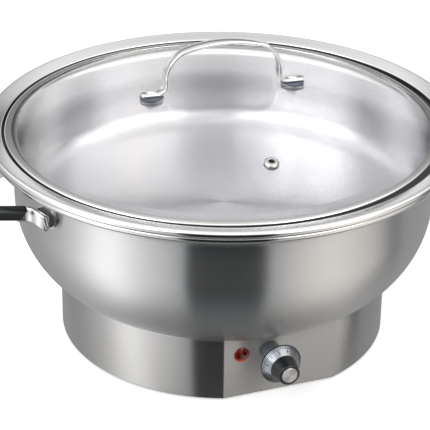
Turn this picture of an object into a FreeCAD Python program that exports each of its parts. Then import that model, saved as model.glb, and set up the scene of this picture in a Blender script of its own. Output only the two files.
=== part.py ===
import FreeCAD, Part
import math
import os
from FreeCAD import Vector

os.makedirs("parts", exist_ok=True)

# Round electric chafing dish, in millimetres: the table is z = 0, the flat control panel looks along -Y

# Base ring
base_radius = 138.8
base_sheet = 1.2
base_lift = 1.5
base_height = 55.2
panel_setback = 8.6
panel_corner_radius = 2.5
top_flange_width = 18.0
bottom_flange_width = 9.0
plate_fit = 0.3
vent_slots = 12
vent_slot_width = 3.6
vent_slot_length = 32.0
vent_slot_radius = 78.0

# Feet and plate screws
foot_radius = 9.0
foot_inset = 25.6
foot_edge_round = 0.6
foot_stem_radius = 3.0
foot_barb_radius = 4.5
foot_barb_height = 2.6
corner_count = 4
plate_screw_inset = 4.6
plate_screw_angles = (30, 150, 210, 330)
plate_screw_radius = 1.6
plate_screw_head_radius = 3.0
plate_screw_head_height = 1.0
plate_screw_length = 6.0

# Water bowl
bowl_wall_radius = 176.2
bowl_sheet = 1.0
bowl_curve_radius = 86.0
bowl_curve_rise = 70.3
bowl_knuckle_radius = 14.0
bowl_cove_radius = 14.0
bowl_straight_height = 33.1
bowl_lip_overhang = 3.6

# Food pan
pan_sheet = 1.0
pan_depth = 68.6
pan_corner_radius = 17.5
pan_ledge_width = 14.1
pan_ledge_drop = 4.9
pan_ledge_edge_radius = 3.0
pan_riser_foot_radius = 1.2
pan_riser_edge_radius = 1.6
pan_rim_slope = 14.6
bead_radius = 3.1
pan_rim_width = 12.4
pan_bead_offset = 3.1
seat_gap = 0.3

# Studs that hold the bowl on the base
stud_inset = 10.6
stud_radius = 2.5
stud_length = 13.0
stud_hole_radius = 2.8
washer_radius = 5.0
washer_height = 1.0
stud_nut_flats = 8.0
stud_nut_height = 4.0

# Lid
lid_turn = -3.8
lid_shift = (-2.1, 0.5)
lid_band_clearance = 4.0
lid_band_height = 5.0
lid_band_width = 6.0
lid_band_sheet = 0.6
lid_band_round = 1.6
glass_thickness = 3.8
glass_edge_fit = 0.2
glass_flat_width = 6.6
glass_inner_setback = 1.27
glass_rise = 35.3
vent_circle = 118.6
vent_turn = -88.4
vent_outer_radius = 6.1
vent_bore_radius = 2.2
vent_hole_radius = 3.6
vent_flange_height = 1.6
vent_throat_width = 1.2
vent_throat_rise = 0.6
vent_flange_bevel = 1.0
vent_flange_edge = 0.3

# Lid handle
strap_half_span = 48.5
strap_rise = 39.5
strap_top_radius = 110.0
strap_corner_radius = 24.0
strap_foot_radius = 7.0
strap_width = 11.0
strap_thickness = 3.0
strap_end_reach = 9.3
strap_end_corner = 2.5
strap_screw_span = 60.5
lid_washer_height = 1.7
lid_washer_radius = 9.8
lid_screw_radius = 2.0
lid_screw_fit = 0.2
lid_glass_hole_radius = 3.0
lid_screw_head_radius = 4.5
lid_screw_head_height = 1.8
lid_nut_flats = 8.0
lid_nut_height = 4.0
lid_nut_dome_radius = 3.6
lid_lower_washer_height = 1.6
lid_lower_washer_slack = 0.8

# Side handles
handle_drop = 10.1
handle_screw_angle = 17.0
handle_plate_length = 22.0
handle_plate_height = 16.0
handle_plate_corner = 6.0
handle_plate_thickness = 1.4
handle_spacer_length = 17.5
handle_spacer_height = 12.5
handle_spacer_corner = 3.0
handle_spacer_thickness = 3.5
handle_foot_height = 13.0
handle_foot_thickness = 4.8
handle_foot_round = 2.0
handle_foot_end = 9.5
handle_foot_run = 6.5
handle_bend_radius = 11.0
handle_arm_length = 8.0
handle_tang_length = 9.0
handle_tang_root = 1.0
handle_tang_size = (3.4, 5.4)
handle_slope = 8.0
handle_converge = 3.0
grip_lift = 0.6
grip_reach = 33.0
grip_corner_radius = 15.0
grip_width = 11.2
grip_rounding = 4.6
grip_lap = 3.9
grip_heel_top = 5.2
grip_heel_lean = 28.0
handle_screw_radius = 2.5
handle_screw_hole_radius = 2.7
handle_screw_depth = 3.4
handle_screw_head_radius = 4.5
handle_screw_head_height = 1.8
handle_washer_radius = 5.5
handle_washer_height = 0.5

# Control knob
control_drop = 15.7
knob_offset = -8.8
knob_standoff = 23.4
knob_rim_thickness = 1.0
knob_skirt_radius = 17.2
knob_skirt_inset = 0.5
knob_skirt_top_radius = 11.4
knob_skirt_length = 6.2
knob_hub_radius = 9.0
knob_grip_radius = 11.0
knob_front_radius = 8.8
knob_length = 19.2
knob_front_round = 0.8
knob_cap_radius = 6.6
knob_cap_thickness = 1.0
knob_cap_proud = 0.3
knob_insert_radius = 5.0
knob_insert_length = 14.0
set_screw_radius = 2.0
spindle_radius = 3.0
spindle_clearance = 0.05
spindle_inner_length = 8.0
collar_radius = 8.0
collar_length = 20.0
collar_neck_radius = 5.0
collar_edge_round = 0.8

# Pilot lamp
lamp_offset = -32.8
lamp_drop = 16.0
lamp_radius = 6.4
lamp_rise = 2.6
lamp_lip = 0.9
lamp_body_radius = 5.0
lamp_body_length = 14.0
lamp_lead_offset = 2.5
lamp_clip_radius = 6.0
lamp_clip_thickness = 0.8

# Thermostat
thermostat_size = (35.0, 24.0, 26.0)
thermostat_edge_round = 1.5
thermostat_tab_size = (6.3, 8.0, 0.8)
thermostat_tab_drop = 8.0
thermostat_tab_places = (-21.0, -9.0, 3.0)
bulb_radius = 3.0
bulb_length = 52.0
bulb_line = -30.0
bulb_start = -8.0
bulb_clip_sheet = 0.8
bulb_clip_width = 12.0
bulb_clip_ear = 6.0
capillary_radius = 0.8
capillary_place = -15.0
capillary_bend = 5.0

# Heater
spreader_radius = 95.0
spreader_thickness = 3.0
element_radius = 4.0
element_circle = 72.0
element_gap_angle = 25.0
element_bend = 10.0
element_tail = 14.0
seal_radius = 4.6
seal_length = 4.0
pin_radius = 1.2
pin_length = 8.0
clamp_radius = 88.0
clamp_thickness = 1.2
clamp_stud_radius = 3.0
clamp_stud_length = 19.5
clamp_washer_radius = 8.0
clamp_nut_flats = 10.0
clamp_nut_height = 5.0
cutout_place = (35.0, 25.0)
cutout_radius = 8.0
cutout_height = 6.0
cutout_edge_round = 1.0

# Terminals, earth stud and cord gland
block_size = (44.0, 20.0, 17.0)
block_line = 100.0
block_screw_radius = 2.2
block_screw_height = 1.2
block_wire_places = (-18.0, -10.0, -2.0, 12.0)
block_wire_height = 12.0
earth_place = (62.0, 78.0)
earth_stud_radius = 2.0
earth_stud_length = 12.0
earth_nut_flats = 7.0
earth_nut_height = 3.2
gland_height = 22.0
gland_bore_radius = 3.9
gland_neck_radius = 6.3
gland_hole_radius = 6.5
gland_flange_radius = 10.0
gland_flange_length = 4.0
gland_nose_radius = 7.0
gland_length = 17.0
gland_neck_length = 14.0
gland_nut_flats = 17.0
gland_nut_length = 5.0
gland_wall_fit = 0.5
wire_radius = 1.2
wire_bend = 6.0

# Sizes worked out from the ones above
base_inner_radius = base_radius - base_sheet
base_top = base_lift + base_height
stud_circle = base_inner_radius - stud_inset
control_height = base_top - control_drop
lamp_height = base_top - lamp_drop
thermostat_tab_height = control_height - thermostat_tab_drop
panel_distance = base_radius - panel_setback
panel_inner_distance = panel_distance - base_sheet
foot_circle = base_inner_radius - foot_inset
plate_screw_circle = base_inner_radius - plate_screw_inset
plate_bottom = base_lift + base_sheet
plate_top = plate_bottom + base_sheet
flange_bottom = base_top - base_sheet
bowl_curve_height = base_top + bowl_curve_rise
bowl_cove_height = bowl_curve_height + bowl_straight_height
bowl_lip_radius = bowl_wall_radius + bowl_cove_radius + bowl_lip_overhang
bowl_bead_height = bowl_cove_height + bowl_cove_radius + bead_radius
handle_height = bowl_cove_height - handle_drop
pan_bead_circle = bowl_lip_radius + pan_bead_offset
pan_bead_height = bowl_bead_height + math.sqrt((2 * bead_radius + seat_gap) ** 2 - pan_bead_offset ** 2)
pan_riser_radius = pan_bead_circle - pan_rim_width
pan_wall_radius = pan_riser_radius - pan_ledge_width
pan_floor_radius = pan_wall_radius - pan_corner_radius
pan_ledge_height = pan_bead_height - pan_ledge_drop
pan_floor_height = pan_ledge_height - pan_depth
lid_band_radius = pan_riser_radius - lid_band_clearance
band_bottom = pan_ledge_height + seat_gap
band_top = band_bottom + lid_band_height
glass_flat_top = band_top - lid_band_sheet
glass_flat_bottom = glass_flat_top - glass_thickness
glass_apex_height = glass_flat_top + glass_rise
glass_edge_radius = lid_band_radius - lid_band_sheet - glass_edge_fit
glass_dome_radius = glass_edge_radius - glass_flat_width
spreader_bottom = base_top - spreader_thickness
element_height = spreader_bottom - element_radius
clamp_top = element_height - element_radius
clamp_bottom = clamp_top - clamp_thickness
handle_seat_radius = bowl_wall_radius + handle_plate_thickness + handle_spacer_thickness


def rz(radius, height):
    return Vector(radius, 0, height)


def along(centre, radius, degrees):
    """Point on a circle in the radius and height plane."""
    turn = math.radians(degrees)
    return (centre[0] + radius * math.cos(turn), centre[1] + radius * math.sin(turn))


def outline(start, *steps):
    """Edges from a start point; each step is a corner, or a through point and an end of an arc."""
    edges = []
    here = rz(*start)
    for step in steps:
        if len(step) == 2:
            there = rz(*step)
            edges.append(Part.LineSegment(here, there).toShape())
        else:
            there = rz(*step[2:])
            edges.append(Part.Arc(here, rz(*step[:2]), there).toShape())
        here = there
    return edges


def arc_step(centre, radius, first, last):
    """Arc step of an outline, from one angle to another on a known centre."""
    return along(centre, radius, (first + last) / 2) + along(centre, radius, last)


def turned(edges):
    """Solid turned about Z from a closed chain of edges."""
    wire = Part.Wire(Part.sortEdges(edges)[0])
    return Part.Face(wire).revolve(Vector(0, 0, 0), Vector(0, 0, 1), 360)


def turned_outline(start, *steps):
    return turned(outline(start, *steps, start))


def sheet(near, far):
    """Turned sheet between two surfaces, each a chain of edges from the axis outwards."""
    ends = [(near[0].firstVertex(), far[0].firstVertex()), (near[-1].lastVertex(), far[-1].lastVertex())]
    joins = [Part.LineSegment(a.Point, b.Point).toShape() for a, b in ends]
    return turned(near + far + joins)


def rod(radius, start, end):
    """Round bar between two points."""
    a, b = Vector(*start), Vector(*end)
    return Part.makeCylinder(radius, (b - a).Length, a, b - a)


def ring(outer, inner, bottom, top):
    return rod(outer, (0, 0, bottom), (0, 0, top)).cut(rod(inner, (0, 0, bottom), (0, 0, top)))


def bead(circle, height):
    return Part.makeTorus(circle, bead_radius, Vector(0, 0, height))


def hexagon(flats, bottom, height, place=(0, 0)):
    """Upright hexagonal prism, given across its flats."""
    reach = flats / 2 / math.cos(math.pi / 6)
    corners = [Vector(place[0] + reach * math.cos(k * math.pi / 3),
                      place[1] + reach * math.sin(k * math.pi / 3), bottom)
               for k in range(7)]
    return Part.Face(Part.makePolygon(corners)).extrude(Vector(0, 0, height))


def spun(shape, degrees):
    """Copy turned about the Z axis."""
    copy = shape.copy()
    copy.rotate(Vector(0, 0, 0), Vector(0, 0, 1), degrees)
    return copy


def moved(shape, x=0, y=0, z=0):
    copy = shape.copy()
    copy.translate(Vector(x, y, z))
    return copy


def around(shape, angles):
    """One copy of a shape at each angle, side by side in one group."""
    return Part.makeCompound([spun(shape, angle) for angle in angles])


def corner_angles():
    return [45 + k * 360 / corner_count for k in range(corner_count)]


def save(name, shape):
    shape.exportStep("parts/%s.step" % name)


def bent_tube(points, radius, bend):
    """Tube along straight runs joined by tangent arcs."""
    points = [Vector(*p) for p in points]
    edges = []
    here = points[0]
    for before, corner, after in zip(points, points[1:], points[2:]):
        back = (before - corner).normalize()
        ahead = (after - corner).normalize()
        half = back.getAngle(ahead) / 2
        reach = bend / math.tan(half)
        start, end = corner + back * reach, corner + ahead * reach
        middle = corner + (back + ahead).normalize() * (bend / math.sin(half) - bend)
        edges.append(Part.LineSegment(here, start).toShape())
        edges.append(Part.Arc(start, middle, end).toShape())
        here = end
    edges.append(Part.LineSegment(here, points[-1]).toShape())
    end_face = Part.Wire(Part.Circle(points[0], points[1] - points[0], radius).toShape())
    return Part.Wire(edges).makePipeShell([end_face], True, False)


# Base ring

def slug(radius, distance, corner, bottom, top):
    """Round block with one flat side towards -Y and rounded corners beside it."""
    block = rod(radius, (0, 0, bottom), (0, 0, top))
    block = block.cut(Part.makeBox(2 * radius, radius, top - bottom,
                                   Vector(-radius, -distance - radius, bottom)))
    upright = [e for e in block.Edges if e.BoundBox.ZLength > top - bottom - 0.01
               and e.BoundBox.YMax < -distance / 2]
    return block.makeFillet(corner, upright)


def base_housing():
    outer = slug(base_radius, panel_distance, panel_corner_radius, base_lift, base_top)
    room = slug(base_inner_radius, panel_inner_distance, panel_corner_radius - base_sheet, plate_bottom,
                flange_bottom)
    shell = outer.cut(room)
    shell = shell.cut(rod(base_inner_radius - top_flange_width, (0, 0, flange_bottom), (0, 0, base_top)))
    shell = shell.cut(rod(base_inner_radius - bottom_flange_width, (0, 0, base_lift), (0, 0, plate_bottom)))
    holes = [rod(stud_hole_radius, (stud_circle, 0, flange_bottom - 1), (stud_circle, 0, base_top + 1))]
    holes = [spun(holes[0], angle) for angle in corner_angles()]
    screw = rod(plate_screw_radius, (plate_screw_circle, 0, 0), (plate_screw_circle, 0, plate_bottom + 1))
    holes += [spun(screw, angle) for angle in plate_screw_angles]
    front, behind = -panel_distance - 1, -panel_inner_distance + 1
    holes.append(rod(collar_neck_radius, (knob_offset, front, control_height),
                     (knob_offset, behind, control_height)))
    holes.append(rod(lamp_body_radius, (lamp_offset, front, lamp_height), (lamp_offset, behind, lamp_height)))
    holes.append(rod(gland_hole_radius, (0, base_radius - 5, gland_height),
                     (0, base_radius + 1, gland_height)))
    return shell.cut(holes)


def bottom_plate():
    plate = slug(base_inner_radius - plate_fit, panel_inner_distance - plate_fit,
                 panel_corner_radius - base_sheet,
                 plate_bottom, plate_top)
    half = vent_slot_length / 2 - vent_slot_width / 2
    slot = Part.makeBox(2 * half, vent_slot_width, base_sheet, Vector(-half, -vent_slot_width / 2, 0))
    for end in (-half, half):
        slot = slot.fuse(rod(vent_slot_width / 2, (end, 0, 0), (end, 0, base_sheet)))
    slot = moved(slot, vent_slot_radius, 0, plate_bottom)
    cuts = [spun(slot, (k + 0.5) * 360 / vent_slots) for k in range(vent_slots)]
    stem = rod(foot_stem_radius, (foot_circle, 0, plate_bottom), (foot_circle, 0, plate_top))
    screw = rod(plate_screw_radius, (plate_screw_circle, 0, plate_bottom), (plate_screw_circle, 0, plate_top))
    cuts += [spun(stem, angle) for angle in corner_angles()]
    cuts += [spun(screw, angle) for angle in plate_screw_angles]
    return plate.cut(cuts)


def rubber_feet():
    """Push-in feet: a pad under the plate, a stem through it and a barb above."""
    foot = rod(foot_radius, (foot_circle, 0, 0), (foot_circle, 0, plate_bottom))
    foot = foot.makeFillet(foot_edge_round, [foot.Edges[2]])
    foot = foot.fuse(rod(foot_stem_radius, (foot_circle, 0, plate_bottom), (foot_circle, 0, plate_top)))
    barb = Part.makeCone(foot_barb_radius, foot_stem_radius / 2, foot_barb_height,
                         Vector(foot_circle, 0, plate_top))
    return around(foot.fuse(barb), corner_angles())


def plate_screws():
    head_bottom = base_lift - plate_screw_head_height
    head = rod(plate_screw_head_radius, (plate_screw_circle, 0, head_bottom),
               (plate_screw_circle, 0, base_lift))
    thread = rod(plate_screw_radius, (plate_screw_circle, 0, base_lift),
                 (plate_screw_circle, 0, base_lift + plate_screw_length))
    return around(head.fuse(thread), plate_screw_angles)


# Water bowl

def bowl_surface(inset):
    """Edges of the bowl's outer surface, moved inwards by a sheet."""
    curve = (bowl_wall_radius - bowl_curve_radius, bowl_curve_height)
    rise = bowl_curve_height - base_top - bowl_knuckle_radius
    reach = math.sqrt((bowl_curve_radius - bowl_knuckle_radius) ** 2 - rise ** 2)
    knuckle = (curve[0] + reach, base_top + bowl_knuckle_radius)
    meet = -math.degrees(math.atan2(rise, reach))
    cove = (bowl_wall_radius + bowl_cove_radius, bowl_cove_height)
    return outline((0, base_top + inset),
                   (knuckle[0], base_top + inset),
                   arc_step(knuckle, bowl_knuckle_radius - inset, -90, meet),
                   arc_step(curve, bowl_curve_radius - inset, meet, 0),
                   (bowl_wall_radius - inset, bowl_cove_height),
                   arc_step(cove, bowl_cove_radius + inset, 180, 90),
                   (bowl_lip_radius, bowl_cove_height + bowl_cove_radius + inset))


def water_bowl():
    bowl = sheet(bowl_surface(0), bowl_surface(bowl_sheet)).fuse(bead(bowl_lip_radius, bowl_bead_height))
    inner, outer = bowl_wall_radius - 2 * bowl_sheet, bowl_wall_radius + bowl_sheet
    return bowl.cut([handle_screw_bar(handle_screw_hole_radius, angle, inner, outer)
                     for angle in handle_screw_angles()])


def bowl_studs():
    return around(rod(stud_radius, (stud_circle, 0, base_top - stud_length), (stud_circle, 0, base_top)),
                  corner_angles())


def stud_hardware(bottom, body):
    """Washers or nuts on the studs: a body with the stud's bore."""
    bore = rod(stud_radius, (stud_circle, 0, bottom - 1), (stud_circle, 0, base_top))
    return around(body.cut(bore), corner_angles())


def stud_washers():
    bottom = flange_bottom - washer_height
    return stud_hardware(bottom, rod(washer_radius, (stud_circle, 0, bottom),
                                     (stud_circle, 0, flange_bottom)))


def stud_nuts():
    bottom = flange_bottom - washer_height - stud_nut_height
    return stud_hardware(bottom, hexagon(stud_nut_flats, bottom, stud_nut_height, (stud_circle, 0)))


# Food pan

def pan_surface(drop):
    """Edges of the pan's upper surface, moved outwards by a sheet."""
    tilt = 90 + pan_rim_slope
    edge = (pan_wall_radius + pan_ledge_edge_radius, pan_ledge_height - pan_ledge_edge_radius)
    heel = (pan_riser_radius - pan_riser_foot_radius, pan_ledge_height + pan_riser_foot_radius)
    slope = math.radians(pan_rim_slope)
    crest_radius = pan_riser_radius + pan_riser_edge_radius
    lift = bead_radius - pan_riser_edge_radius + (crest_radius - pan_bead_circle) * math.sin(slope)
    crest = (crest_radius, pan_bead_height + lift / math.cos(slope))
    corner = (pan_floor_radius, pan_floor_height + pan_corner_radius)
    return outline((0, pan_floor_height - drop),
                   (pan_floor_radius, pan_floor_height - drop),
                   arc_step(corner, pan_corner_radius + drop, -90, 0),
                   (pan_wall_radius + drop, edge[1]),
                   arc_step(edge, pan_ledge_edge_radius - drop, 180, 90),
                   (heel[0], pan_ledge_height - drop),
                   arc_step(heel, pan_riser_foot_radius + drop, -90, 0),
                   (pan_riser_radius + drop, crest[1]),
                   arc_step(crest, pan_riser_edge_radius - drop, 180, tilt),
                   along((pan_bead_circle, pan_bead_height), bead_radius - drop, tilt))


def food_pan():
    return sheet(pan_surface(0), pan_surface(pan_sheet)).fuse(bead(pan_bead_circle, pan_bead_height))


# Lid

def dome_centre(edge_radius, edge_height, apex):
    """Height of the centre and the radius of a dome through its edge and its apex."""
    rise = apex - edge_height
    radius = (edge_radius ** 2 + rise ** 2) / (2 * rise)
    return apex - radius, radius


def dome_height(distance, apex=glass_apex_height, edge_height=glass_flat_top, edge_radius=glass_dome_radius):
    centre, radius = dome_centre(edge_radius, edge_height, apex)
    return centre + math.sqrt(radius ** 2 - distance ** 2)


def glass_blank():
    half = glass_dome_radius / 2
    inner_edge = glass_dome_radius - glass_inner_setback
    inner_apex = glass_apex_height - glass_thickness
    under = dome_height(half, inner_apex, glass_flat_bottom, inner_edge)
    return turned_outline((0, inner_apex),
                          (half, under, inner_edge, glass_flat_bottom),
                          (glass_edge_radius, glass_flat_bottom),
                          (glass_edge_radius, glass_flat_top),
                          (glass_dome_radius, glass_flat_top),
                          (half, dome_height(half), 0, glass_apex_height))


def vent_frame(shape):
    """Carries a shape from the origin to the vent's place, square to the dome."""
    centre, radius = dome_centre(glass_dome_radius, glass_flat_top, glass_apex_height)
    placed = shape.copy()
    placed.rotate(Vector(0, 0, 0), Vector(0, 1, 0), math.degrees(math.asin(vent_circle / radius)))
    placed.translate(Vector(vent_circle, 0, dome_height(vent_circle)))
    return spun(placed, vent_turn)


def screw_pair(shape):
    return Part.makeCompound([moved(shape, side * strap_screw_span) for side in (-1, 1)])


def lid_glass():
    holes = screw_pair(rod(lid_glass_hole_radius, (0, 0, band_bottom), (0, 0, glass_apex_height)))
    return glass_blank().cut([holes, vent_frame(rod(vent_hole_radius, (0, 0, -9), (0, 0, 9)))])


def lid_band():
    """Channel of thin sheet folded over the glass edge."""
    inner = lid_band_radius - lid_band_width
    block = ring(lid_band_radius, inner, band_bottom, band_top)
    rounded = [e for e in block.Edges if e.BoundBox.ZMin > band_top - 0.01
               and e.BoundBox.XMax > lid_band_radius - 0.01]
    block = block.makeFillet(lid_band_round, rounded)
    return block.cut(ring(glass_edge_radius + glass_edge_fit / 2, inner, glass_flat_bottom, glass_flat_top))


def vent_eyelet():
    flange = vent_outer_radius
    tube = turned_outline((vent_bore_radius, vent_flange_height),
                          (vent_bore_radius + vent_throat_width, vent_flange_height + vent_throat_rise),
                          (flange - vent_flange_bevel, vent_flange_height),
                          (flange, vent_flange_edge),
                          (flange, -glass_thickness - vent_flange_edge),
                          (flange - vent_flange_bevel, -glass_thickness - vent_flange_height),
                          (vent_bore_radius, -glass_thickness - vent_flange_height))
    sleeve = ring(vent_hole_radius, vent_bore_radius, -2 * glass_thickness, glass_thickness)
    return vent_frame(tube).cut(glass_blank()).fuse(vent_frame(tube.common(sleeve)))


def strap_height():
    """Height of the strap's middle at its feet."""
    return dome_height(strap_screw_span) + lid_washer_height + strap_thickness / 2


def lid_handle():
    """Flat strap bent to an arch, with a level foot under each screw."""
    base = strap_height()
    swing = strap_top_radius - strap_corner_radius
    lean = math.degrees(math.asin((strap_half_span - strap_corner_radius) / swing))
    top = (0, base + strap_rise - strap_top_radius)
    corner = along(top, swing, 90 - lean)
    heel = (strap_half_span + strap_foot_radius, base + strap_foot_radius)
    end = strap_screw_span + strap_end_reach
    half = outline((0, base + strap_rise),
                   arc_step(top, strap_top_radius, 90, 90 - lean),
                   arc_step(corner, strap_corner_radius, 90 - lean, 0),
                   (strap_half_span, heel[1]),
                   arc_step(heel, strap_foot_radius, 180, 270),
                   (end, base))
    other = [e.mirror(Vector(0, 0, 0), Vector(1, 0, 0)) for e in half]
    path = Part.Wire(Part.sortEdges(half + other)[0])
    start = path.OrderedVertexes[0].Point
    profile = rounded_profile(start, strap_width, strap_thickness, strap_thickness / 2 - 0.05)
    strap = path.makePipeShell([profile], True, False)
    beyond = Part.makeBox(strap_end_corner, strap_width, strap_thickness,
                          Vector(end - strap_end_corner, -strap_width / 2, base - strap_thickness / 2))
    upright = [e for e in beyond.Edges if e.BoundBox.ZLength > strap_thickness - 0.1
               and e.BoundBox.XMin > end - 0.1]
    rounded = beyond.makeFillet(strap_end_corner - 0.01, upright)
    corners = beyond.cut(rounded)
    holes = screw_pair(rod(lid_screw_radius + lid_screw_fit, (0, 0, base - strap_thickness),
                           (0, 0, base + strap_thickness)))
    return strap.cut([corners, spun(corners, 180), holes])


def rounded_profile(centre, width, height, rounding):
    """Rounded rectangle in the YZ plane."""
    block = Part.makeBox(1, width, height, centre + Vector(0, -width / 2, -height / 2))
    block = block.makeFillet(rounding, [e for e in block.Edges if e.BoundBox.XLength > 0.9])
    faces = [f for f in block.Faces if f.BoundBox.XLength < 0.01 and f.CenterOfMass.x < centre.x + 0.5]
    return faces[0].OuterWire


def lid_washers_upper():
    foot = strap_height() - strap_thickness / 2
    washer = rod(lid_washer_radius, (0, 0, dome_height(strap_screw_span) - glass_thickness), (0, 0, foot))
    washer = washer.cut(rod(lid_screw_radius, (0, 0, 0), (0, 0, foot)))
    pair = screw_pair(washer).cut(glass_blank())
    return Part.makeCompound([s for s in pair.Solids if s.BoundBox.ZMax > foot - 0.01])


def lid_lower_seat():
    """Height of the nuts' upper faces below the glass."""
    return dome_height(strap_screw_span) - glass_thickness - lid_lower_washer_height - lid_lower_washer_slack


def lid_washers_lower():
    seat = lid_lower_seat()
    glass_top = dome_height(strap_screw_span)
    washer = rod(lid_washer_radius, (0, 0, seat), (0, 0, glass_top))
    washer = washer.cut(rod(lid_screw_radius, (0, 0, 0), (0, 0, glass_top)))
    pair = screw_pair(washer).cut(glass_blank())
    return Part.makeCompound([s for s in pair.Solids if s.BoundBox.ZMin < seat + 0.01])


def lid_screws():
    top = strap_height() + strap_thickness / 2
    bulge = (lid_screw_head_radius ** 2 + lid_screw_head_height ** 2) / (2 * lid_screw_head_height)
    dome = Part.makeSphere(bulge, Vector(0, 0, top + lid_screw_head_height - bulge))
    head = dome.common(rod(lid_screw_head_radius, (0, 0, top), (0, 0, top + lid_screw_head_height)))
    bottom = lid_lower_seat() - lid_nut_height
    return screw_pair(head.fuse(rod(lid_screw_radius, (0, 0, bottom), (0, 0, top))))


def lid_nuts():
    """Closed dome nuts below the glass."""
    seat = lid_lower_seat()
    body = hexagon(lid_nut_flats, seat - lid_nut_height, lid_nut_height)
    dome = Part.makeSphere(lid_nut_dome_radius, Vector(0, 0, seat - lid_nut_height))
    bore = rod(lid_screw_radius, (0, 0, seat - lid_nut_height), (0, 0, seat))
    return screw_pair(body.fuse(dome).cut(bore))


def on_lid(shape):
    """Turns a lid piece to the lid's own heading and sets it where the lid lies in the rim."""
    return moved(spun(shape, lid_turn), lid_shift[0], lid_shift[1])


# Side handles, made on the +X side

def handle_screw_angles():
    return [end + side * handle_screw_angle for end in (0, 180) for side in (-1, 1)]


def handle_screw_bar(radius, angle, inner, outer):
    """Round bar square to the bowl's wall at one handle screw."""
    return spun(rod(radius, (inner, 0, handle_height), (outer, 0, handle_height)), angle)


def wall_block(inner, outer, length, height, corner):
    """Block with rounded corners that follows the bowl's wall between two radii."""
    depth = outer - inner + length / 2
    block = Part.makeBox(depth, length, height, Vector(outer - depth + 1, -length / 2,
                                                       handle_height - height / 2))
    block = block.makeFillet(corner, [e for e in block.Edges if e.BoundBox.XLength > depth - 0.1])
    return block.common(ring(outer, inner, handle_height - height, handle_height + height))


def wall_plates(inner, thickness, length, height, corner):
    block = wall_block(inner, inner + thickness, length, height, corner)
    block = block.cut(handle_screw_bar(handle_screw_hole_radius, 0, inner - height, inner + height))
    return around(block, handle_screw_angles())


def handle_plates():
    """Steel plates on the bowl's wall behind the handle feet."""
    return wall_plates(bowl_wall_radius, handle_plate_thickness, handle_plate_length, handle_plate_height,
                       handle_plate_corner)


def handle_spacers():
    """Dark insulating pads between the plates and the feet."""
    return wall_plates(bowl_wall_radius + handle_plate_thickness, handle_spacer_thickness,
                       handle_spacer_length,
                       handle_spacer_height, handle_spacer_corner)


def foot_points():
    """Middle line of one foot in plan: far end, bend start, middle and end, and the arm's heading."""
    turn = math.radians(handle_screw_angle)
    middle = handle_seat_radius + handle_foot_thickness / 2
    pad = Vector(middle * math.cos(turn), middle * math.sin(turn), handle_height)
    heading = Vector(math.sin(turn), -math.cos(turn), 0)
    side = Vector(math.cos(turn), math.sin(turn), 0)
    start = pad + heading * handle_foot_run
    centre = start + side * handle_bend_radius
    arm = Vector(math.cos(math.radians(handle_converge)), -math.sin(math.radians(handle_converge)), 0)
    arm_side = Vector(-arm.y, arm.x, 0)
    end = centre - arm_side * handle_bend_radius
    between = (side * -1 - arm_side).normalize()
    return pad - heading * handle_foot_end, start, centre + between * handle_bend_radius, end, arm


def mirrored(shape):
    return shape.mirror(Vector(0, 0, 0), Vector(0, 1, 0))


def on_handle(shape):
    """Carries a shape from the grip's own frame, its start at the origin, to its sloping place."""
    shape.rotate(Vector(0, 0, 0), Vector(0, 1, 0), -handle_slope)
    shape.translate(Vector(foot_points()[3].x, 0, handle_height + grip_lift))
    return shape


def grip_room():
    """Space outwards of the grip's ends, which lap over the bend and lean back below it."""
    far = 2 * grip_reach
    lean = (grip_heel_top + grip_width / 2) * math.tan(math.radians(grip_heel_lean))
    corners = [(-grip_lap, far), (-grip_lap, grip_heel_top), (lean - grip_lap, -grip_width / 2),
               (lean - grip_lap, -far),
               (2 * far, -far), (2 * far, far)]
    corners = [Vector(x, -far, z) for x, z in corners + corners[:1]]
    return on_handle(Part.Face(Part.makePolygon(corners)).extrude(Vector(0, 2 * far, 0)))


def handle_tang():
    """Narrow end of the foot inside the grip."""
    end, arm = foot_points()[3:]
    width, height = handle_tang_size
    length = handle_tang_length + handle_tang_root
    tang = Part.makeBox(length, width, height, Vector(-handle_tang_root, -width / 2, -height / 2))
    tang.rotate(Vector(0, 0, 0), Vector(0, 0, 1), -handle_converge)
    return moved(tang, end.x, end.y, end.z)


def handle_foot():
    """Bar that lies along the wall and bends outwards to the grip."""
    far, start, middle, end, arm = foot_points()
    path = Part.Wire([Part.LineSegment(far, start).toShape(),
                      Part.Arc(start, middle, end).toShape(),
                      Part.LineSegment(end, end + arm * handle_arm_length).toShape()])
    course = Vector(start.x - far.x, start.y - far.y, 0)
    wide = course.cross(Vector(0, 0, 1)).normalize() * (handle_foot_thickness / 2)
    tall = Vector(0, 0, handle_foot_height / 2)
    corners = [far - wide - tall, far + wide - tall, far + wide + tall, far - wide + tall, far - wide - tall]
    bar = path.makePipeShell([Part.makePolygon(corners)], True, False)
    long_edges = [e for e in bar.Edges if e.Length > handle_foot_thickness + 1 and e.BoundBox.ZLength < 0.01]
    bar = bar.makeFillet(handle_foot_round, long_edges)
    screw = handle_screw_bar(handle_screw_radius, handle_screw_angle, bowl_wall_radius,
                             handle_seat_radius + handle_screw_depth)
    return bar.cut(grip_room()).cut(screw).fuse(handle_tang())


def handle_feet(side):
    foot = handle_foot()
    return spun(Part.makeCompound([foot, mirrored(foot)]), side)


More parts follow.
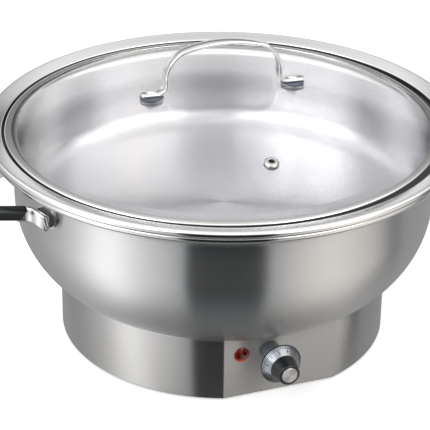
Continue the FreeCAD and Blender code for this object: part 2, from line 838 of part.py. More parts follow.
def handle_grip(side):
    """Loop of hard plastic between the two feet, rising gently outwards."""
    start_y = foot_points()[3].y
    slant = math.tan(math.radians(handle_converge))
    lap = 2 * grip_lap
    first = Vector(-lap, start_y + lap * slant, 0)
    corner = Vector(grip_reach, start_y - grip_reach * slant, 0)
    turn = math.radians(90 - handle_converge) / 2
    reach = grip_corner_radius * math.tan(turn)
    heading = (corner - first).normalize()
    bend_start = corner - heading * reach
    bend_end = corner - Vector(0, reach, 0)
    inward = (heading * -1 + Vector(0, -1, 0)).normalize()
    middle = corner + inward * (grip_corner_radius / math.cos(turn) - grip_corner_radius)
    half = [Part.LineSegment(first, bend_start).toShape(),
            Part.Arc(bend_start, middle, bend_end).toShape(),
            Part.LineSegment(bend_end, Vector(grip_reach, 0, 0)).toShape()]
    path = Part.Wire(Part.sortEdges(half + [mirrored(e) for e in half])[0])
    profile = rounded_profile(Vector(0, 0, 0), grip_width, grip_width, grip_rounding)
    profile.rotate(Vector(0, 0, 0), Vector(0, 0, 1), -handle_converge)
    profile.translate(first)
    grip = on_handle(path.makePipeShell([profile], True, False)).common(grip_room())
    tang = handle_tang()
    return spun(grip.cut([tang, mirrored(tang)]), side)


def handle_washers():
    """Washers with a flat face for the screw's head and a curved one for the bowl's wall."""
    outer = bowl_wall_radius - bowl_sheet
    inner = outer - handle_washer_height
    block = handle_screw_bar(handle_washer_radius, 0, inner, outer + handle_washer_radius)
    block = block.common(ring(outer, inner - handle_washer_radius, handle_height - handle_washer_radius,
                              handle_height + handle_washer_radius))
    return around(block.cut(handle_screw_bar(handle_screw_radius, 0, inner - 2, outer + 2)),
                  handle_screw_angles())


def handle_screws():
    """Screws from inside the bowl into the feet."""
    seat = bowl_wall_radius - bowl_sheet - handle_washer_height
    head = handle_screw_bar(handle_screw_head_radius, 0, seat - handle_screw_head_height, seat)
    body = handle_screw_bar(handle_screw_radius, 0, seat, handle_seat_radius + handle_screw_depth)
    return around(head.fuse(body), handle_screw_angles())


# Control knob and lamp, made about an axis along -Y and then set on the panel

def on_panel(shape, offset, height=control_height):
    """Carries a shape turned about Z to the panel: its Z becomes the way out of the panel."""
    copy = shape.copy()
    copy.rotate(Vector(0, 0, 0), Vector(1, 0, 0), 90)
    return moved(copy, offset, -panel_distance, height)


def spindle_collar():
    """Dark threaded collar that clamps the thermostat to the panel."""
    collar = rod(collar_radius, (0, 0, 0), (0, 0, collar_length))
    rounded = [e for e in collar.Edges if e.BoundBox.ZMin > collar_length - 0.01]
    collar = collar.makeFillet(collar_edge_round, rounded)
    collar = collar.fuse(rod(collar_neck_radius, (0, 0, -base_sheet), (0, 0, 0)))
    bore = rod(spindle_radius + spindle_clearance, (0, 0, -base_sheet), (0, 0, collar_length))
    return on_panel(collar.cut(bore), knob_offset)


def thermostat_spindle():
    start = -base_sheet - spindle_inner_length
    return on_panel(rod(spindle_radius, (0, 0, start), (0, 0, knob_standoff + knob_insert_length)),
                    knob_offset)


def knob_body():
    back = knob_standoff
    skirt_end = back + knob_rim_thickness + knob_skirt_length
    front = back + knob_length
    knob = turned_outline((0, back),
                          (knob_skirt_radius, back),
                          (knob_skirt_radius, back + knob_rim_thickness),
                          (knob_hub_radius, back + knob_rim_thickness),
                          (knob_hub_radius, skirt_end),
                          (knob_grip_radius, skirt_end),
                          (knob_front_radius, front - knob_front_round),
                          (knob_front_radius - knob_front_round, front),
                          (knob_cap_radius, front),
                          (knob_cap_radius, front - knob_cap_thickness + knob_cap_proud),
                          (0, front - knob_cap_thickness + knob_cap_proud))
    insert = rod(knob_insert_radius, (0, 0, back), (0, 0, back + knob_insert_length))
    return on_panel(knob.cut([insert, set_screw_bar()]), knob_offset)


def set_screw_bar():
    middle = knob_standoff + knob_insert_length - set_screw_radius - 1
    return rod(set_screw_radius, (0, 0, middle), (knob_grip_radius, 0, middle))


def knob_skirt():
    start = knob_standoff + knob_rim_thickness
    outer = knob_skirt_radius - knob_skirt_inset
    return on_panel(turned_outline((knob_hub_radius, start), (outer, start), (outer, start + 0.6),
                                   (knob_skirt_top_radius, start + knob_skirt_length),
                                   (knob_hub_radius, start + knob_skirt_length)), knob_offset)


def knob_cap():
    bottom = knob_standoff + knob_length - knob_cap_thickness + knob_cap_proud
    return on_panel(rod(knob_cap_radius, (0, 0, bottom), (0, 0, bottom + knob_cap_thickness)), knob_offset)


def knob_insert():
    sleeve = ring(knob_insert_radius, spindle_radius, knob_standoff, knob_standoff + knob_insert_length)
    return on_panel(sleeve.cut(set_screw_bar()), knob_offset)


def knob_set_screw():
    middle = knob_standoff + knob_insert_length - set_screw_radius - 1
    reach = knob_insert_radius + 2.5
    return on_panel(rod(set_screw_radius, (spindle_radius, 0, middle), (reach, 0, middle))
                    .cut(rod(spindle_radius, (0, 0, 0), (0, 0, knob_front_radius * 9))), knob_offset)


def lamp_lens():
    """Domed red lens that stands on the panel."""
    bulge = (lamp_radius ** 2 + (lamp_rise - lamp_lip) ** 2) / (2 * (lamp_rise - lamp_lip))
    dome = Part.makeSphere(bulge, Vector(0, 0, lamp_rise - bulge))
    return on_panel(dome.common(rod(lamp_radius, (0, 0, lamp_lip), (0, 0, lamp_rise)))
                    .fuse(rod(lamp_radius, (0, 0, 0), (0, 0, lamp_lip))), lamp_offset, lamp_height)


def lamp_body():
    return on_panel(rod(lamp_body_radius, (0, 0, -base_sheet - lamp_body_length), (0, 0, 0)), lamp_offset,
                    lamp_height)


def lamp_clip():
    clip = ring(lamp_clip_radius, lamp_body_radius, -base_sheet - lamp_clip_thickness, -base_sheet)
    return on_panel(clip, lamp_offset, lamp_height)


# Thermostat

def thermostat_back():
    return -panel_inner_distance + thermostat_size[1]


def thermostat_body():
    width, depth, height = thermostat_size
    body = Part.makeBox(width, depth, height,
                        Vector(knob_offset - width / 2, -panel_inner_distance, control_height - height / 2))
    body = body.makeFillet(thermostat_edge_round, [e for e in body.Edges if e.BoundBox.YLength > depth - 0.1])
    start = (knob_offset, -panel_inner_distance, control_height)
    end = (knob_offset, -panel_inner_distance + spindle_inner_length + 1, control_height)
    return body.cut(rod(spindle_radius + spindle_clearance, start, end))


def thermostat_tabs():
    width, length, thickness = thermostat_tab_size
    corner = Vector(-width / 2, thermostat_back(), thermostat_tab_height - thickness / 2)
    tab = Part.makeBox(width, length, thickness, corner)
    return Part.makeCompound([moved(tab, place) for place in thermostat_tab_places])


def sensing_bulb():
    height = spreader_bottom - bulb_radius
    return rod(bulb_radius, (bulb_start, bulb_line, height), (bulb_start + bulb_length, bulb_line, height))


def capillary():
    height = spreader_bottom - bulb_radius
    return bent_tube([(bulb_start, bulb_line, height), (capillary_place, bulb_line, height),
                      (capillary_place, thermostat_back(), height)], capillary_radius, capillary_bend)


def bulb_clip():
    """Half sleeve under the bulb with an ear on each side against the spreader."""
    height = spreader_bottom - bulb_radius
    start = bulb_start + bulb_length / 2 - bulb_clip_width / 2
    end = start + bulb_clip_width
    outer = bulb_radius + bulb_clip_sheet
    trough = rod(outer, (start, bulb_line, height), (end, bulb_line, height))
    trough = trough.cut(Part.makeBox(bulb_clip_width, 2 * outer, outer,
                                     Vector(start, bulb_line - outer, height)))
    cheeks = Part.makeBox(bulb_clip_width, 2 * outer, bulb_radius, Vector(start, bulb_line - outer, height))
    wings = Part.makeBox(bulb_clip_width, 2 * (outer + bulb_clip_ear), bulb_clip_sheet,
                         Vector(start, bulb_line - outer - bulb_clip_ear, spreader_bottom - bulb_clip_sheet))
    room = Part.makeBox(bulb_clip_width, 2 * bulb_radius, bulb_radius,
                        Vector(start, bulb_line - bulb_radius, height))
    hole = rod(bulb_radius, (start, bulb_line, height), (end, bulb_line, height))
    return trough.fuse([cheeks, wings]).cut([room, hole]).removeSplitter()


# Heater under the bowl

def heat_spreader():
    return ring(spreader_radius, clamp_stud_radius, spreader_bottom, base_top)


def element_end(side):
    """End point and outward heading of the element's tail on one side of its gap."""
    turn = math.radians(-90 + side * element_gap_angle)
    out = Vector(math.cos(turn), math.sin(turn), 0)
    across = Vector(out.y, -out.x, 0) * side
    ring_end = out * element_circle
    bend_end = ring_end + (out + across) * element_bend
    return ring_end, out, across, bend_end


def heating_element():
    """Tube bent to a ring, open at the front, with its ends turned outwards."""
    lift = Vector(0, 0, element_height)
    edges = []
    for side in (1, -1):
        ring_end, out, across, bend_end = element_end(side)
        centre = ring_end + out * element_bend
        middle = centre + (across - out).normalize() * element_bend
        edges.append(Part.Arc(ring_end + lift, middle + lift, bend_end + lift).toShape())
        edges.append(Part.LineSegment(bend_end + lift, bend_end + out * element_tail + lift).toShape())
    back = Vector(0, element_circle, element_height)
    edges.append(Part.Arc(element_end(1)[0] + lift, back, element_end(-1)[0] + lift).toShape())
    path = Part.Wire(Part.sortEdges(edges)[0])
    first = path.OrderedVertexes[0].Point
    heading = path.OrderedEdges[0].tangentAt(path.OrderedEdges[0].FirstParameter)
    return path.makePipeShell([Part.Wire(Part.Circle(first, heading, element_radius).toShape())], True, False)


def element_fittings(radius, start, length):
    """Round fittings that continue the element's tails."""
    pair = []
    for side in (1, -1):
        _, out, _, bend_end = element_end(side)
        first = bend_end + out * (element_tail + start) + Vector(0, 0, element_height)
        pair.append(Part.makeCylinder(radius, length, first, out))
    return Part.makeCompound(pair)


def element_clamp():
    """Plate that presses the element and the spreader against the bowl."""
    return ring(clamp_radius, clamp_stud_radius, clamp_bottom, clamp_top)


def clamp_stud():
    return rod(clamp_stud_radius, (0, 0, base_top - clamp_stud_length), (0, 0, base_top))


def clamp_nut():
    washer = rod(clamp_washer_radius, (0, 0, clamp_bottom - washer_height), (0, 0, clamp_bottom))
    nut = hexagon(clamp_nut_flats, clamp_bottom - washer_height - clamp_nut_height, clamp_nut_height)
    return washer.fuse(nut).cut(rod(clamp_stud_radius, (0, 0, 0), (0, 0, base_top)))


def thermal_cutout():
    x, y = cutout_place
    can = rod(cutout_radius, (x, y, clamp_bottom - cutout_height), (x, y, clamp_bottom))
    rounded = [e for e in can.Edges if e.BoundBox.ZMax < clamp_bottom - cutout_height + 0.01]
    return can.makeFillet(cutout_edge_round, rounded)


# Terminals, earth and cord gland

def terminal_block():
    width, depth, height = block_size
    return Part.makeBox(width, depth, height, Vector(-width / 2, block_line - depth / 2, plate_top))


def terminal_screws():
    top = plate_top + block_size[2]
    rows = [(x, block_line + side * block_size[1] / 4) for x in block_wire_places for side in (-1, 1)]
    return Part.makeCompound([rod(block_screw_radius, (x, y, top), (x, y, top + block_screw_height))
                              for x, y in rows])


def earth_stud():
    return rod(earth_stud_radius, (*earth_place, plate_top), (*earth_place, plate_top + earth_stud_length))


def earth_nut():
    nut = hexagon(earth_nut_flats, plate_top, earth_nut_height, earth_place)
    return nut.cut(earth_stud())


def on_back(shape):
    """Carries a shape turned about Z to the back wall: its Z becomes the way out."""
    copy = shape.copy()
    copy.rotate(Vector(0, 0, 0), Vector(1, 0, 0), -90)
    return moved(copy, 0, base_radius, gland_height)


def cord_gland():
    """Gland in the back wall with an open bore for the cord."""
    body = turned_outline((gland_bore_radius, -gland_neck_length),
                          (gland_neck_radius, -gland_neck_length),
                          (gland_neck_radius, 0),
                          (gland_flange_radius, 0),
                          (gland_flange_radius, gland_flange_length),
                          (gland_nose_radius, gland_length),
                          (gland_bore_radius, gland_length))
    return on_back(body)


def gland_nut():
    start = -base_sheet - gland_wall_fit - gland_nut_length
    nut = hexagon(gland_nut_flats, start, gland_nut_length)
    return on_back(nut.cut(rod(gland_neck_radius, (0, 0, start), (0, 0, 0))))


def internal_wires():
    """Insulated wires in the base: two lamp leads, two to the thermostat and the run past the cut-out."""
    front = block_line - block_size[1] / 2
    low = block_wire_height
    first, second, third, fourth = block_wire_places
    tab_end = thermostat_back() + thermostat_tab_size[1]
    tabs = thermostat_tab_places
    lamp_end = -panel_inner_distance + lamp_body_length
    _, out, _, bend_end = element_end(1)
    pin = bend_end + out * (element_tail + seal_length + pin_length - wire_radius)
    pin_foot = element_height - pin_radius
    cut_x, cut_y = cutout_place
    cut_z = clamp_bottom - cutout_height / 2
    runs = [
        [(first, front, low), (first, 72, low), (-64, 30, low), (-64, -80, 30),
         (lamp_offset, -100, lamp_height + lamp_lead_offset),
         (lamp_offset, lamp_end, lamp_height + lamp_lead_offset)],
        [(second, front, low), (second, 68, low), (-55, 24, low), (-55, -76, 24),
         (lamp_offset, -100, lamp_height - lamp_lead_offset),
         (lamp_offset, lamp_end, lamp_height - lamp_lead_offset)],
        [(third, front, low), (third, 64, low), (-44, 18, low), (-44, -50, 16),
         (tabs[0], -78, thermostat_tab_height), (tabs[0], tab_end, thermostat_tab_height)],
        [(tabs[2], tab_end, thermostat_tab_height), (tabs[2], -70, thermostat_tab_height),
         (pin.x, -70, thermostat_tab_height), (pin.x, pin.y, thermostat_tab_height),
         (pin.x, pin.y, pin_foot)],
        [(fourth, front, low), (fourth, 74, low), (cut_x, 62, 28), (cut_x, 50, cut_z),
         (cut_x, cut_y + cutout_radius, cut_z)],
        [(cut_x, cut_y - cutout_radius, cut_z), (cut_x, 0, cut_z), (20, -36, 26), (-pin.x, -66, 22),
         (-pin.x, pin.y, 22), (-pin.x, pin.y, pin_foot)],
    ]
    return Part.makeCompound([bent_tube(run, wire_radius, wire_bend) for run in runs])


save("base_housing", base_housing())
save("bottom_plate", bottom_plate())
save("rubber_feet", rubber_feet())
save("plate_screws", plate_screws())
save("water_bowl", water_bowl())
save("bowl_studs", bowl_studs())
save("stud_washers", stud_washers())
save("stud_nuts", stud_nuts())
save("food_pan", food_pan())
save("lid_glass", on_lid(lid_glass()))
save("lid_band", on_lid(lid_band()))
save("lid_handle", on_lid(lid_handle()))
save("lid_screws", on_lid(lid_screws()))
save("lid_washers_upper", on_lid(lid_washers_upper()))
save("lid_washers_lower", on_lid(lid_washers_lower()))
save("lid_nuts", on_lid(lid_nuts()))
save("vent_eyelet", on_lid(vent_eyelet()))
save("handle_plates", handle_plates())
save("handle_spacers", handle_spacers())
for name, side in (("right", 0), ("left", 180)):
    save("handle_feet_" + name, handle_feet(side))
    save("handle_grip_" + name, handle_grip(side))
save("handle_washers", handle_washers())
save("handle_screws", handle_screws())
save("spindle_collar", spindle_collar())
save("thermostat_spindle", thermostat_spindle())
save("knob_body", knob_body())
save("knob_skirt", knob_skirt())
save("knob_cap", knob_cap())
save("knob_insert", knob_insert())
save("knob_set_screw", knob_set_screw())
save("lamp_lens", lamp_lens())
save("lamp_body", lamp_body())
save("lamp_clip", lamp_clip())
save("thermostat_body", thermostat_body())
save("thermostat_tabs", thermostat_tabs())
save("sensing_bulb", sensing_bulb())
save("capillary", capillary())
save("bulb_clip", bulb_clip())
save("heat_spreader", heat_spreader())
save("heating_element", heating_element())
save("element_seals", element_fittings(seal_radius, 0, seal_length))
save("element_pins", element_fittings(pin_radius, seal_length, pin_length))
save("element_clamp", element_clamp())
save("clamp_stud", clamp_stud())
save("clamp_nut", clamp_nut())
save("thermal_cutout", thermal_cutout())
save("terminal_block", terminal_block())
save("terminal_screws", terminal_screws())
save("earth_stud", earth_stud())
save("earth_nut", earth_nut())
save("cord_gland", cord_gland())
save("gland_nut", gland_nut())
save("internal_wires", internal_wires())
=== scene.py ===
import bmesh
import bpy
from math import acos, asin, atan2, ceil, cos, degrees, hypot, pi, radians, sin, sqrt
from mathutils import Matrix, Vector


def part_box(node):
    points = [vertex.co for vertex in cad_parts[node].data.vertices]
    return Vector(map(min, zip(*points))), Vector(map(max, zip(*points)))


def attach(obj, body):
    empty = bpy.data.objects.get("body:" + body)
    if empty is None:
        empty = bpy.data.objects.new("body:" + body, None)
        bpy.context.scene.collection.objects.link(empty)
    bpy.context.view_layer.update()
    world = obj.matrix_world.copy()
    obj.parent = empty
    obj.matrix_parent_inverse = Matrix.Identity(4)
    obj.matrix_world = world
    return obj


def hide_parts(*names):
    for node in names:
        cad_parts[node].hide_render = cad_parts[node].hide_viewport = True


bl_info = {
    "name": "Electric chafing dish",
    "version": (1, 0, 0),
    "blender": (4, 5, 0),
    "location": "View3D > Sidebar > Chafing dish",
    "description": "Dresses the jointed chafing dish in steel, glass and hard plastic",
    "category": "Object",
}

# The frame is in metres, the table is z = 0 and the control panel looks along -Y
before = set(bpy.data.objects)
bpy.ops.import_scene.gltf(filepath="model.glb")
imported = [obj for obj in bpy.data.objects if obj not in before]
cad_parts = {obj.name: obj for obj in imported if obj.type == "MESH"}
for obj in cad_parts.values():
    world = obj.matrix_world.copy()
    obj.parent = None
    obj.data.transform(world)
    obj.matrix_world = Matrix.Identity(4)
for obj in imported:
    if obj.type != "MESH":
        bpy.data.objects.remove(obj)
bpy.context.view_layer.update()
MM = 0.001
UP = Vector((0, 0, 1))


def size(name, millimetres, description):
    """Length that a user can change, given in millimetres and kept in metres."""
    return bpy.props.FloatProperty(name=name, description=description, default=millimetres * MM,
                                   min=0, unit="LENGTH", precision=5)


def angle(name, degrees, description):
    return bpy.props.FloatProperty(name=name, description=description,
                                   default=radians(degrees), subtype="ANGLE")


def srgb(code):
    """Linear colour of an sRGB hex code such as 8A8D91."""
    parts = [int(code[k:k + 2], 16) / 255 for k in (0, 2, 4)]
    return tuple(c / 12.92 if c <= 0.04045 else ((c + 0.055) / 1.055) ** 2.4 for c in parts)


def colour(name, code, description):
    return bpy.props.FloatVectorProperty(name=name, description=description, default=srgb(code),
                                         subtype="COLOR", size=3, min=0, max=1)


class BaseSizes(bpy.types.PropertyGroup):
    radius: size("Radius", 138.8, "Outside radius of the base ring")
    panel: size("Panel distance", 130.2, "From the middle to the flat control panel")
    corner: size("Panel corner", 2.5, "Radius of the upright bends beside the panel")
    sheet: size("Sheet", 1.2, "Thickness of the base's steel")
    lift: size("Lift", 1.5, "Height of the base's lower edge")
    top: size("Top", 56.7, "Height of the base's upper edge")
    bend: size("Bend", 1.1, "Outside radius of the folds along the two edges")
    top_flange: size("Top flange", 18, "Width of the flange that carries the bowl")
    bottom_flange: size("Bottom flange", 9, "Width of the flange that carries the bottom plate")


class BowlSizes(bpy.types.PropertyGroup):
    wall: size("Wall radius", 176.2, "Outside radius of the water bowl's wall")
    sheet: size("Sheet", 1, "Thickness of the bowl's steel")
    curve: size("Curve radius", 86, "Radius of the curve between wall and floor")
    curve_height: size("Curve height", 127, "Height where the wall starts to curve in")
    knuckle: size("Knuckle", 14, "Radius of the bend beside the flat floor")
    cove: size("Cove", 14, "Radius of the cove below the lip")
    cove_height: size("Cove height", 160.1, "Height where the wall starts to flare out")
    lip: size("Lip radius", 193.8, "Radius of the middle of the rolled lip")
    bead: size("Bead", 3.1, "Radius of the rolled lips of bowl and pan")


class PanSizes(bpy.types.PropertyGroup):
    floor_height: size("Floor height", 109.4, "Height of the pan's floor")
    floor: size("Floor radius", 152.9, "Radius of the flat of the pan's floor")
    corner: size("Corner", 17.5, "Radius of the corner between floor and wall")
    sheet: size("Sheet", 1, "Thickness of the pan's steel")
    ledge: size("Ledge height", 178, "Height of the ledge that the lid lies on")
    ledge_edge: size("Ledge edge", 3, "Radius of the bend from wall to ledge")
    riser: size("Riser radius", 184.5, "Radius of the upright step round the lid")
    riser_foot: size("Riser foot", 1.2, "Radius of the bend from ledge to riser")
    riser_edge: size("Riser edge", 1.6, "Radius of the bend from riser to rim")
    rim_slope: angle("Rim slope", 14.6, "Rise of the rim towards its bead")
    bead_circle: size("Bead circle", 196.9, "Radius of the middle of the pan's bead")
    bead_height: size("Bead height", 182.9, "Height of the middle of the pan's bead")


class LidSizes(bpy.types.PropertyGroup):
    turn: angle("Turn", -3.8, "How far the loose lid is turned on the pan")
    shift_x: size("Shift along X", 2.1, "How far the loose lid lies towards -X")
    shift_y: size("Shift along Y", 0.5, "How far the loose lid lies towards +Y")
    band: size("Band radius", 180.5, "Outside radius of the steel band round the glass")
    band_bottom: size("Band bottom", 178.3, "Height of the band's lower edge")
    band_height: size("Band height", 5, "Height of the band")
    band_width: size("Band width", 6, "How far the band laps over the glass")
    band_sheet: size("Band sheet", 0.6, "Thickness of the band's steel")
    band_round: size("Band round", 1.6, "Radius of the band's upper outer edge")
    glass: size("Glass", 3.8, "Thickness of the glass")
    glass_rim: size("Glass rim", 6.6, "Width of the flat rim inside the band")
    apex: size("Apex", 218, "Height of the top of the dome")
    screw_span: size("Screw span", 60.5, "From the middle to each lid screw")


class StrapSizes(bpy.types.PropertyGroup):
    width: size("Width", 11, "Width of the steel strap")
    thickness: size("Thickness", 3, "Thickness of the steel strap")
    half_span: size("Half span", 48.5, "From the middle to each upright of the arch")
    rise: size("Rise", 39.5, "Height of the arch above its feet")
    top: size("Top radius", 110, "Radius of the arch's back")
    corner: size("Corner radius", 24, "Radius of the arch's shoulders")
    foot: size("Foot radius", 7, "Radius of the bend into each foot")
    reach: size("Foot reach", 9.3, "How far each foot runs past its screw")
    end_corner: size("End corner", 2.5, "Radius of the corners of each foot")
    washer: size("Washer height", 1.7, "Height of the washers under the feet")


class KnobSizes(bpy.types.PropertyGroup):
    offset: size("Offset", 8.8, "How far the knob stands to the left of the middle")
    height: size("Height", 41, "Height of the knob's axis")
    standoff: size("Standoff", 23.4, "From the panel to the knob's back")
    rim: size("Rim radius", 17.2, "Radius of the black rim behind the skirt")
    rim_thickness: size("Rim thickness", 1, "Thickness of the black rim")
    skirt_inset: size("Skirt inset", 0.5, "How far the skirt stays inside the rim")
    skirt_edge: size("Skirt edge", 0.6, "Height of the skirt's upright edge")
    skirt_top: size("Skirt top", 11.4, "Radius of the skirt where it meets the grip")
    skirt_length: size("Skirt length", 6.2, "Depth of the skirt")
    hub: size("Hub radius", 9, "Radius of the hub inside the skirt")
    grip: size("Grip radius", 11, "Radius of the grip at the skirt")
    front: size("Front radius", 8.8, "Radius of the grip at the front")
    length: size("Length", 19.2, "From the knob's back to its front")
    cap: size("Cap radius", 6.6, "Radius of the spun metal cap")
    cap_proud: size("Cap proud", 0.3, "How far the cap stands proud")


class LampSizes(bpy.types.PropertyGroup):
    offset: size("Offset", 32.8, "How far the lamp stands to the left of the middle")
    height: size("Height", 40.7, "Height of the lamp's middle")
    radius: size("Radius", 6.4, "Radius of the lens")
    rise: size("Rise", 2.6, "How far the lens stands out")
    lip: size("Lip", 0.9, "Straight edge of the lens")


class Finishes(bpy.types.PropertyGroup):
    steel: colour("Brushed steel", "CFCFCF", "Bare brushed stainless steel")
    panel: colour("Panel steel", "B9B8B7", "Brushed steel of the base")
    pan: colour("Pan steel", "E2E2E3", "Brushed steel of the food pan")
    gap: colour("Groove shade steel", "5C5B5C", "Steel painted dark as shade in the groove round the lid")
    rim: colour("Rim steel", "E5E5E4", "Buffed steel of the rolled rims")
    bright: colour("Polished steel", "E7E7E6", "Polished stainless steel")
    glass: colour("Glass", "FBFBFD", "Tint of the tempered glass")
    plastic: colour("Grip plastic", "15181A", "Black phenolic of the grips and the knob")
    collar: colour("Collar", "9AA5AC", "Grey zinc of the collar")
    skirt: colour("Dial skirt", "A9ADB3", "Spun aluminium of the dial")
    cap: colour("Knob cap", "DADADA", "Spun bright aluminium of the knob's cap")
    washer: colour("Lid washers", "EEF1F5", "Clear silicone under the strap's feet")
    seat: colour("Strap seats", "565C66", "Dark grey washer finish between strap and glass")
    spacer: colour("Handle spacers", "3E4145", "Dark grey with painted shade behind the handle's feet")
    marks: colour("Dial marks", "1B1D22", "Printed marks and numbers")
    lens: colour("Lamp lens", "92201A", "Red polycarbonate")
    rubber: colour("Rubber", "1C1C1D", "Black rubber of the feet")


GROUPS = {"chafer_base": BaseSizes, "chafer_bowl": BowlSizes, "chafer_pan": PanSizes,
          "chafer_lid": LidSizes, "chafer_strap": StrapSizes, "chafer_knob": KnobSizes,
          "chafer_lamp": LampSizes, "chafer_finishes": Finishes}


# Nodes and materials

def add(tree, kind, inputs=None, **settings):
    """Adds a node with its settings, and gives each input a value, or a link from a socket or from the
    first output of another node."""
    node = tree.nodes.new(kind)
    for name, value in settings.items():
        setattr(node, name, value)
    for key, value in (inputs or {}).items():
        if isinstance(value, bpy.types.Node):
            value = value.outputs[0]
        if isinstance(value, bpy.types.NodeSocket):
            tree.links.new(value, node.inputs[key])
        else:
            node.inputs[key].default_value = value
    return node


def maths(tree, operation, *values):
    return add(tree, "ShaderNodeMath", dict(enumerate(values)), operation=operation).outputs[0]


def blank_material(name):
    """Tree of a new material, and the place on the piece that its patterns follow."""
    made = bpy.data.materials.new(name)
    made.use_nodes = True
    made.node_tree.nodes.clear()
    return made.node_tree, add(made.node_tree, "ShaderNodeTexCoord").outputs["Object"]


def material(name):
    return bpy.data.materials[name]


def close_material(tree, shader):
    add(tree, "ShaderNodeOutputMaterial", {"Surface": shader})


def principled(tree, base, roughness, metallic=0.0, **more):
    """Closes a material with its shader. The names of more inputs have _ for each space."""
    inputs = {key.replace("_", " "): value for key, value in more.items()}
    inputs.update({"Base Color": base, "Roughness": roughness, "Metallic": metallic})
    close_material(tree, add(tree, "ShaderNodeBsdfPrincipled", inputs))


def tangent(tree, axis):
    """Direction round an axis, along which brushing stretches highlights."""
    return add(tree, "ShaderNodeTangent", direction_type="RADIAL", axis=axis).outputs[0]


def spread(tree, value, low, high, start=0, end=1, **settings):
    """Goes from low to high as a value goes from start to end."""
    ends = {"From Min": start, "From Max": end, "To Min": low, "To Max": high}
    return add(tree, "ShaderNodeMapRange", {"Value": value, **ends}, **settings).outputs[0]


def shade_between(tree, factor, dark, light):
    """Colour between two, each a socket or three numbers, as a factor goes from 0 to 1."""
    ends = [end if isinstance(end, bpy.types.NodeSocket) else (*end, 1) for end in (dark, light)]
    mix = add(tree, "ShaderNodeMix", {"Factor": factor, 6: ends[0], 7: ends[1]}, data_type="RGBA")
    return mix.outputs[2]


def dimmed(tint, share):
    return tuple(c * share for c in tint)


def cloud(tree, place, wavelength, detail=3):
    """Soft noise whose lumps are about one wavelength, in metres, across."""
    return add(tree, "ShaderNodeTexNoise", {"Vector": place, "Scale": 1 / wavelength,
                                            "Detail": detail}).outputs[0]


def bump(tree, height, depth):
    return add(tree, "ShaderNodeBump", {"Height": height, "Distance": depth}).outputs[0]


def counted_from(tree, place, middle):
    """Coordinates along each axis, counted from a point."""
    centred = add(tree, "ShaderNodeMapping", {"Vector": place, "Location": -middle})
    return add(tree, "ShaderNodeSeparateXYZ", {"Vector": centred}).outputs


# Fine lines of about 0.1 mm in the real steel are drawn wider so that they show
BRUSH_LINE, BRUSH_RUN = 1.4 * MM, 160 * MM


def round_the_axis(tree, place):
    """Coordinates for brush lines that run round the Z axis: one unit is a line's width across the
    lines, whether they lie on a wall or on a floor, and a run along them."""
    axes = add(tree, "ShaderNodeSeparateXYZ", {"Vector": place}).outputs
    squares = [maths(tree, "MULTIPLY", axes[k], axes[k]) for k in (0, 1)]
    out = maths(tree, "SQRT", maths(tree, "ADD", *squares))
    return add(tree, "ShaderNodeCombineXYZ", {
        "X": maths(tree, "DIVIDE", axes[0], BRUSH_RUN), "Y": maths(tree, "DIVIDE", axes[1], BRUSH_RUN),
        "Z": maths(tree, "DIVIDE", maths(tree, "ADD", out, axes[2]), BRUSH_LINE)})


def brushed_steel(name, tint, roughness, anisotropy, depth=0.0001 * MM):
    """Stainless steel, brushed or buffed round the Z axis: fine lines stretch each highlight upright
    across them, and slow patches change its shade a little."""
    tree, place = blank_material(name)
    lines = cloud(tree, round_the_axis(tree, place), 1, 2)
    patches = cloud(tree, place, 60 * MM)
    mixed = maths(tree, "ADD", maths(tree, "MULTIPLY", lines, 0.6), maths(tree, "MULTIPLY", patches, 0.4))
    principled(tree, shade_between(tree, mixed, dimmed(tint, 0.95), tint),
               spread(tree, mixed, roughness * 0.94, roughness * 1.06), 1.0, Anisotropic=anisotropy,
               Anisotropic_Rotation=0.25, Tangent=tangent(tree, "Z"), Normal=bump(tree, lines, depth))


def spun_aluminium(name, tint, roughness, middle, painted_wedge_shade):
    """Aluminium spun on a lathe: fine rings round the knob's axis fan each highlight out. Its colour has
    painted highlights and painted shade: two pairs of wedges round the axis, one pair darker by the given
    share."""
    tree, place = blank_material(name)
    axes = counted_from(tree, place, middle)
    pairs, first_wedge = 2.0, 2.6
    turn = maths(tree, "ARCTAN2", axes["Z"], axes["X"])
    wave = maths(tree, "SINE", maths(tree, "MULTIPLY_ADD", turn, pairs, first_wedge))
    # Painted highlights and shade: two pairs of light and dark wedges round the knob's axis
    painted_highlight_wedges = maths(tree, "MULTIPLY_ADD", wave, 0.5, 0.5)
    rings = cloud(tree, place, 0.6 * MM)
    principled(tree, shade_between(tree, painted_highlight_wedges, dimmed(tint, 1 - painted_wedge_shade), tint),
               spread(tree, rings, roughness * 0.9, roughness * 1.1), 1.0, Anisotropic=0.9,
               Anisotropic_Rotation=0.25, Tangent=tangent(tree, "Y"))


def polished_steel(name, tint, roughness=0.07):
    """Steel buffed to a mirror, bare or chromed: a faint haze of wiping marks in patches of 15 mm."""
    tree, place = blank_material(name)
    haze = cloud(tree, place, 15 * MM)
    principled(tree, shade_between(tree, haze, dimmed(tint, 0.93), tint),
               spread(tree, haze, roughness * 0.6, roughness * 1.5), 1.0,
               Normal=bump(tree, cloud(tree, place, 25 * MM), 0.01 * MM))


def tempered_glass(tint):
    """Clear tempered soda-lime glass, pressed and fire polished: faint waves and a film of dust."""
    tree, place = blank_material("Tempered glass")
    film = cloud(tree, place, 30 * MM)
    principled(tree, shade_between(tree, film, dimmed(tint, 0.98), tint), spread(tree, film, 0.0, 0.03),
               IOR=1.5, Transmission_Weight=1.0,
               Normal=bump(tree, cloud(tree, place, 70 * MM), 0.01 * MM))


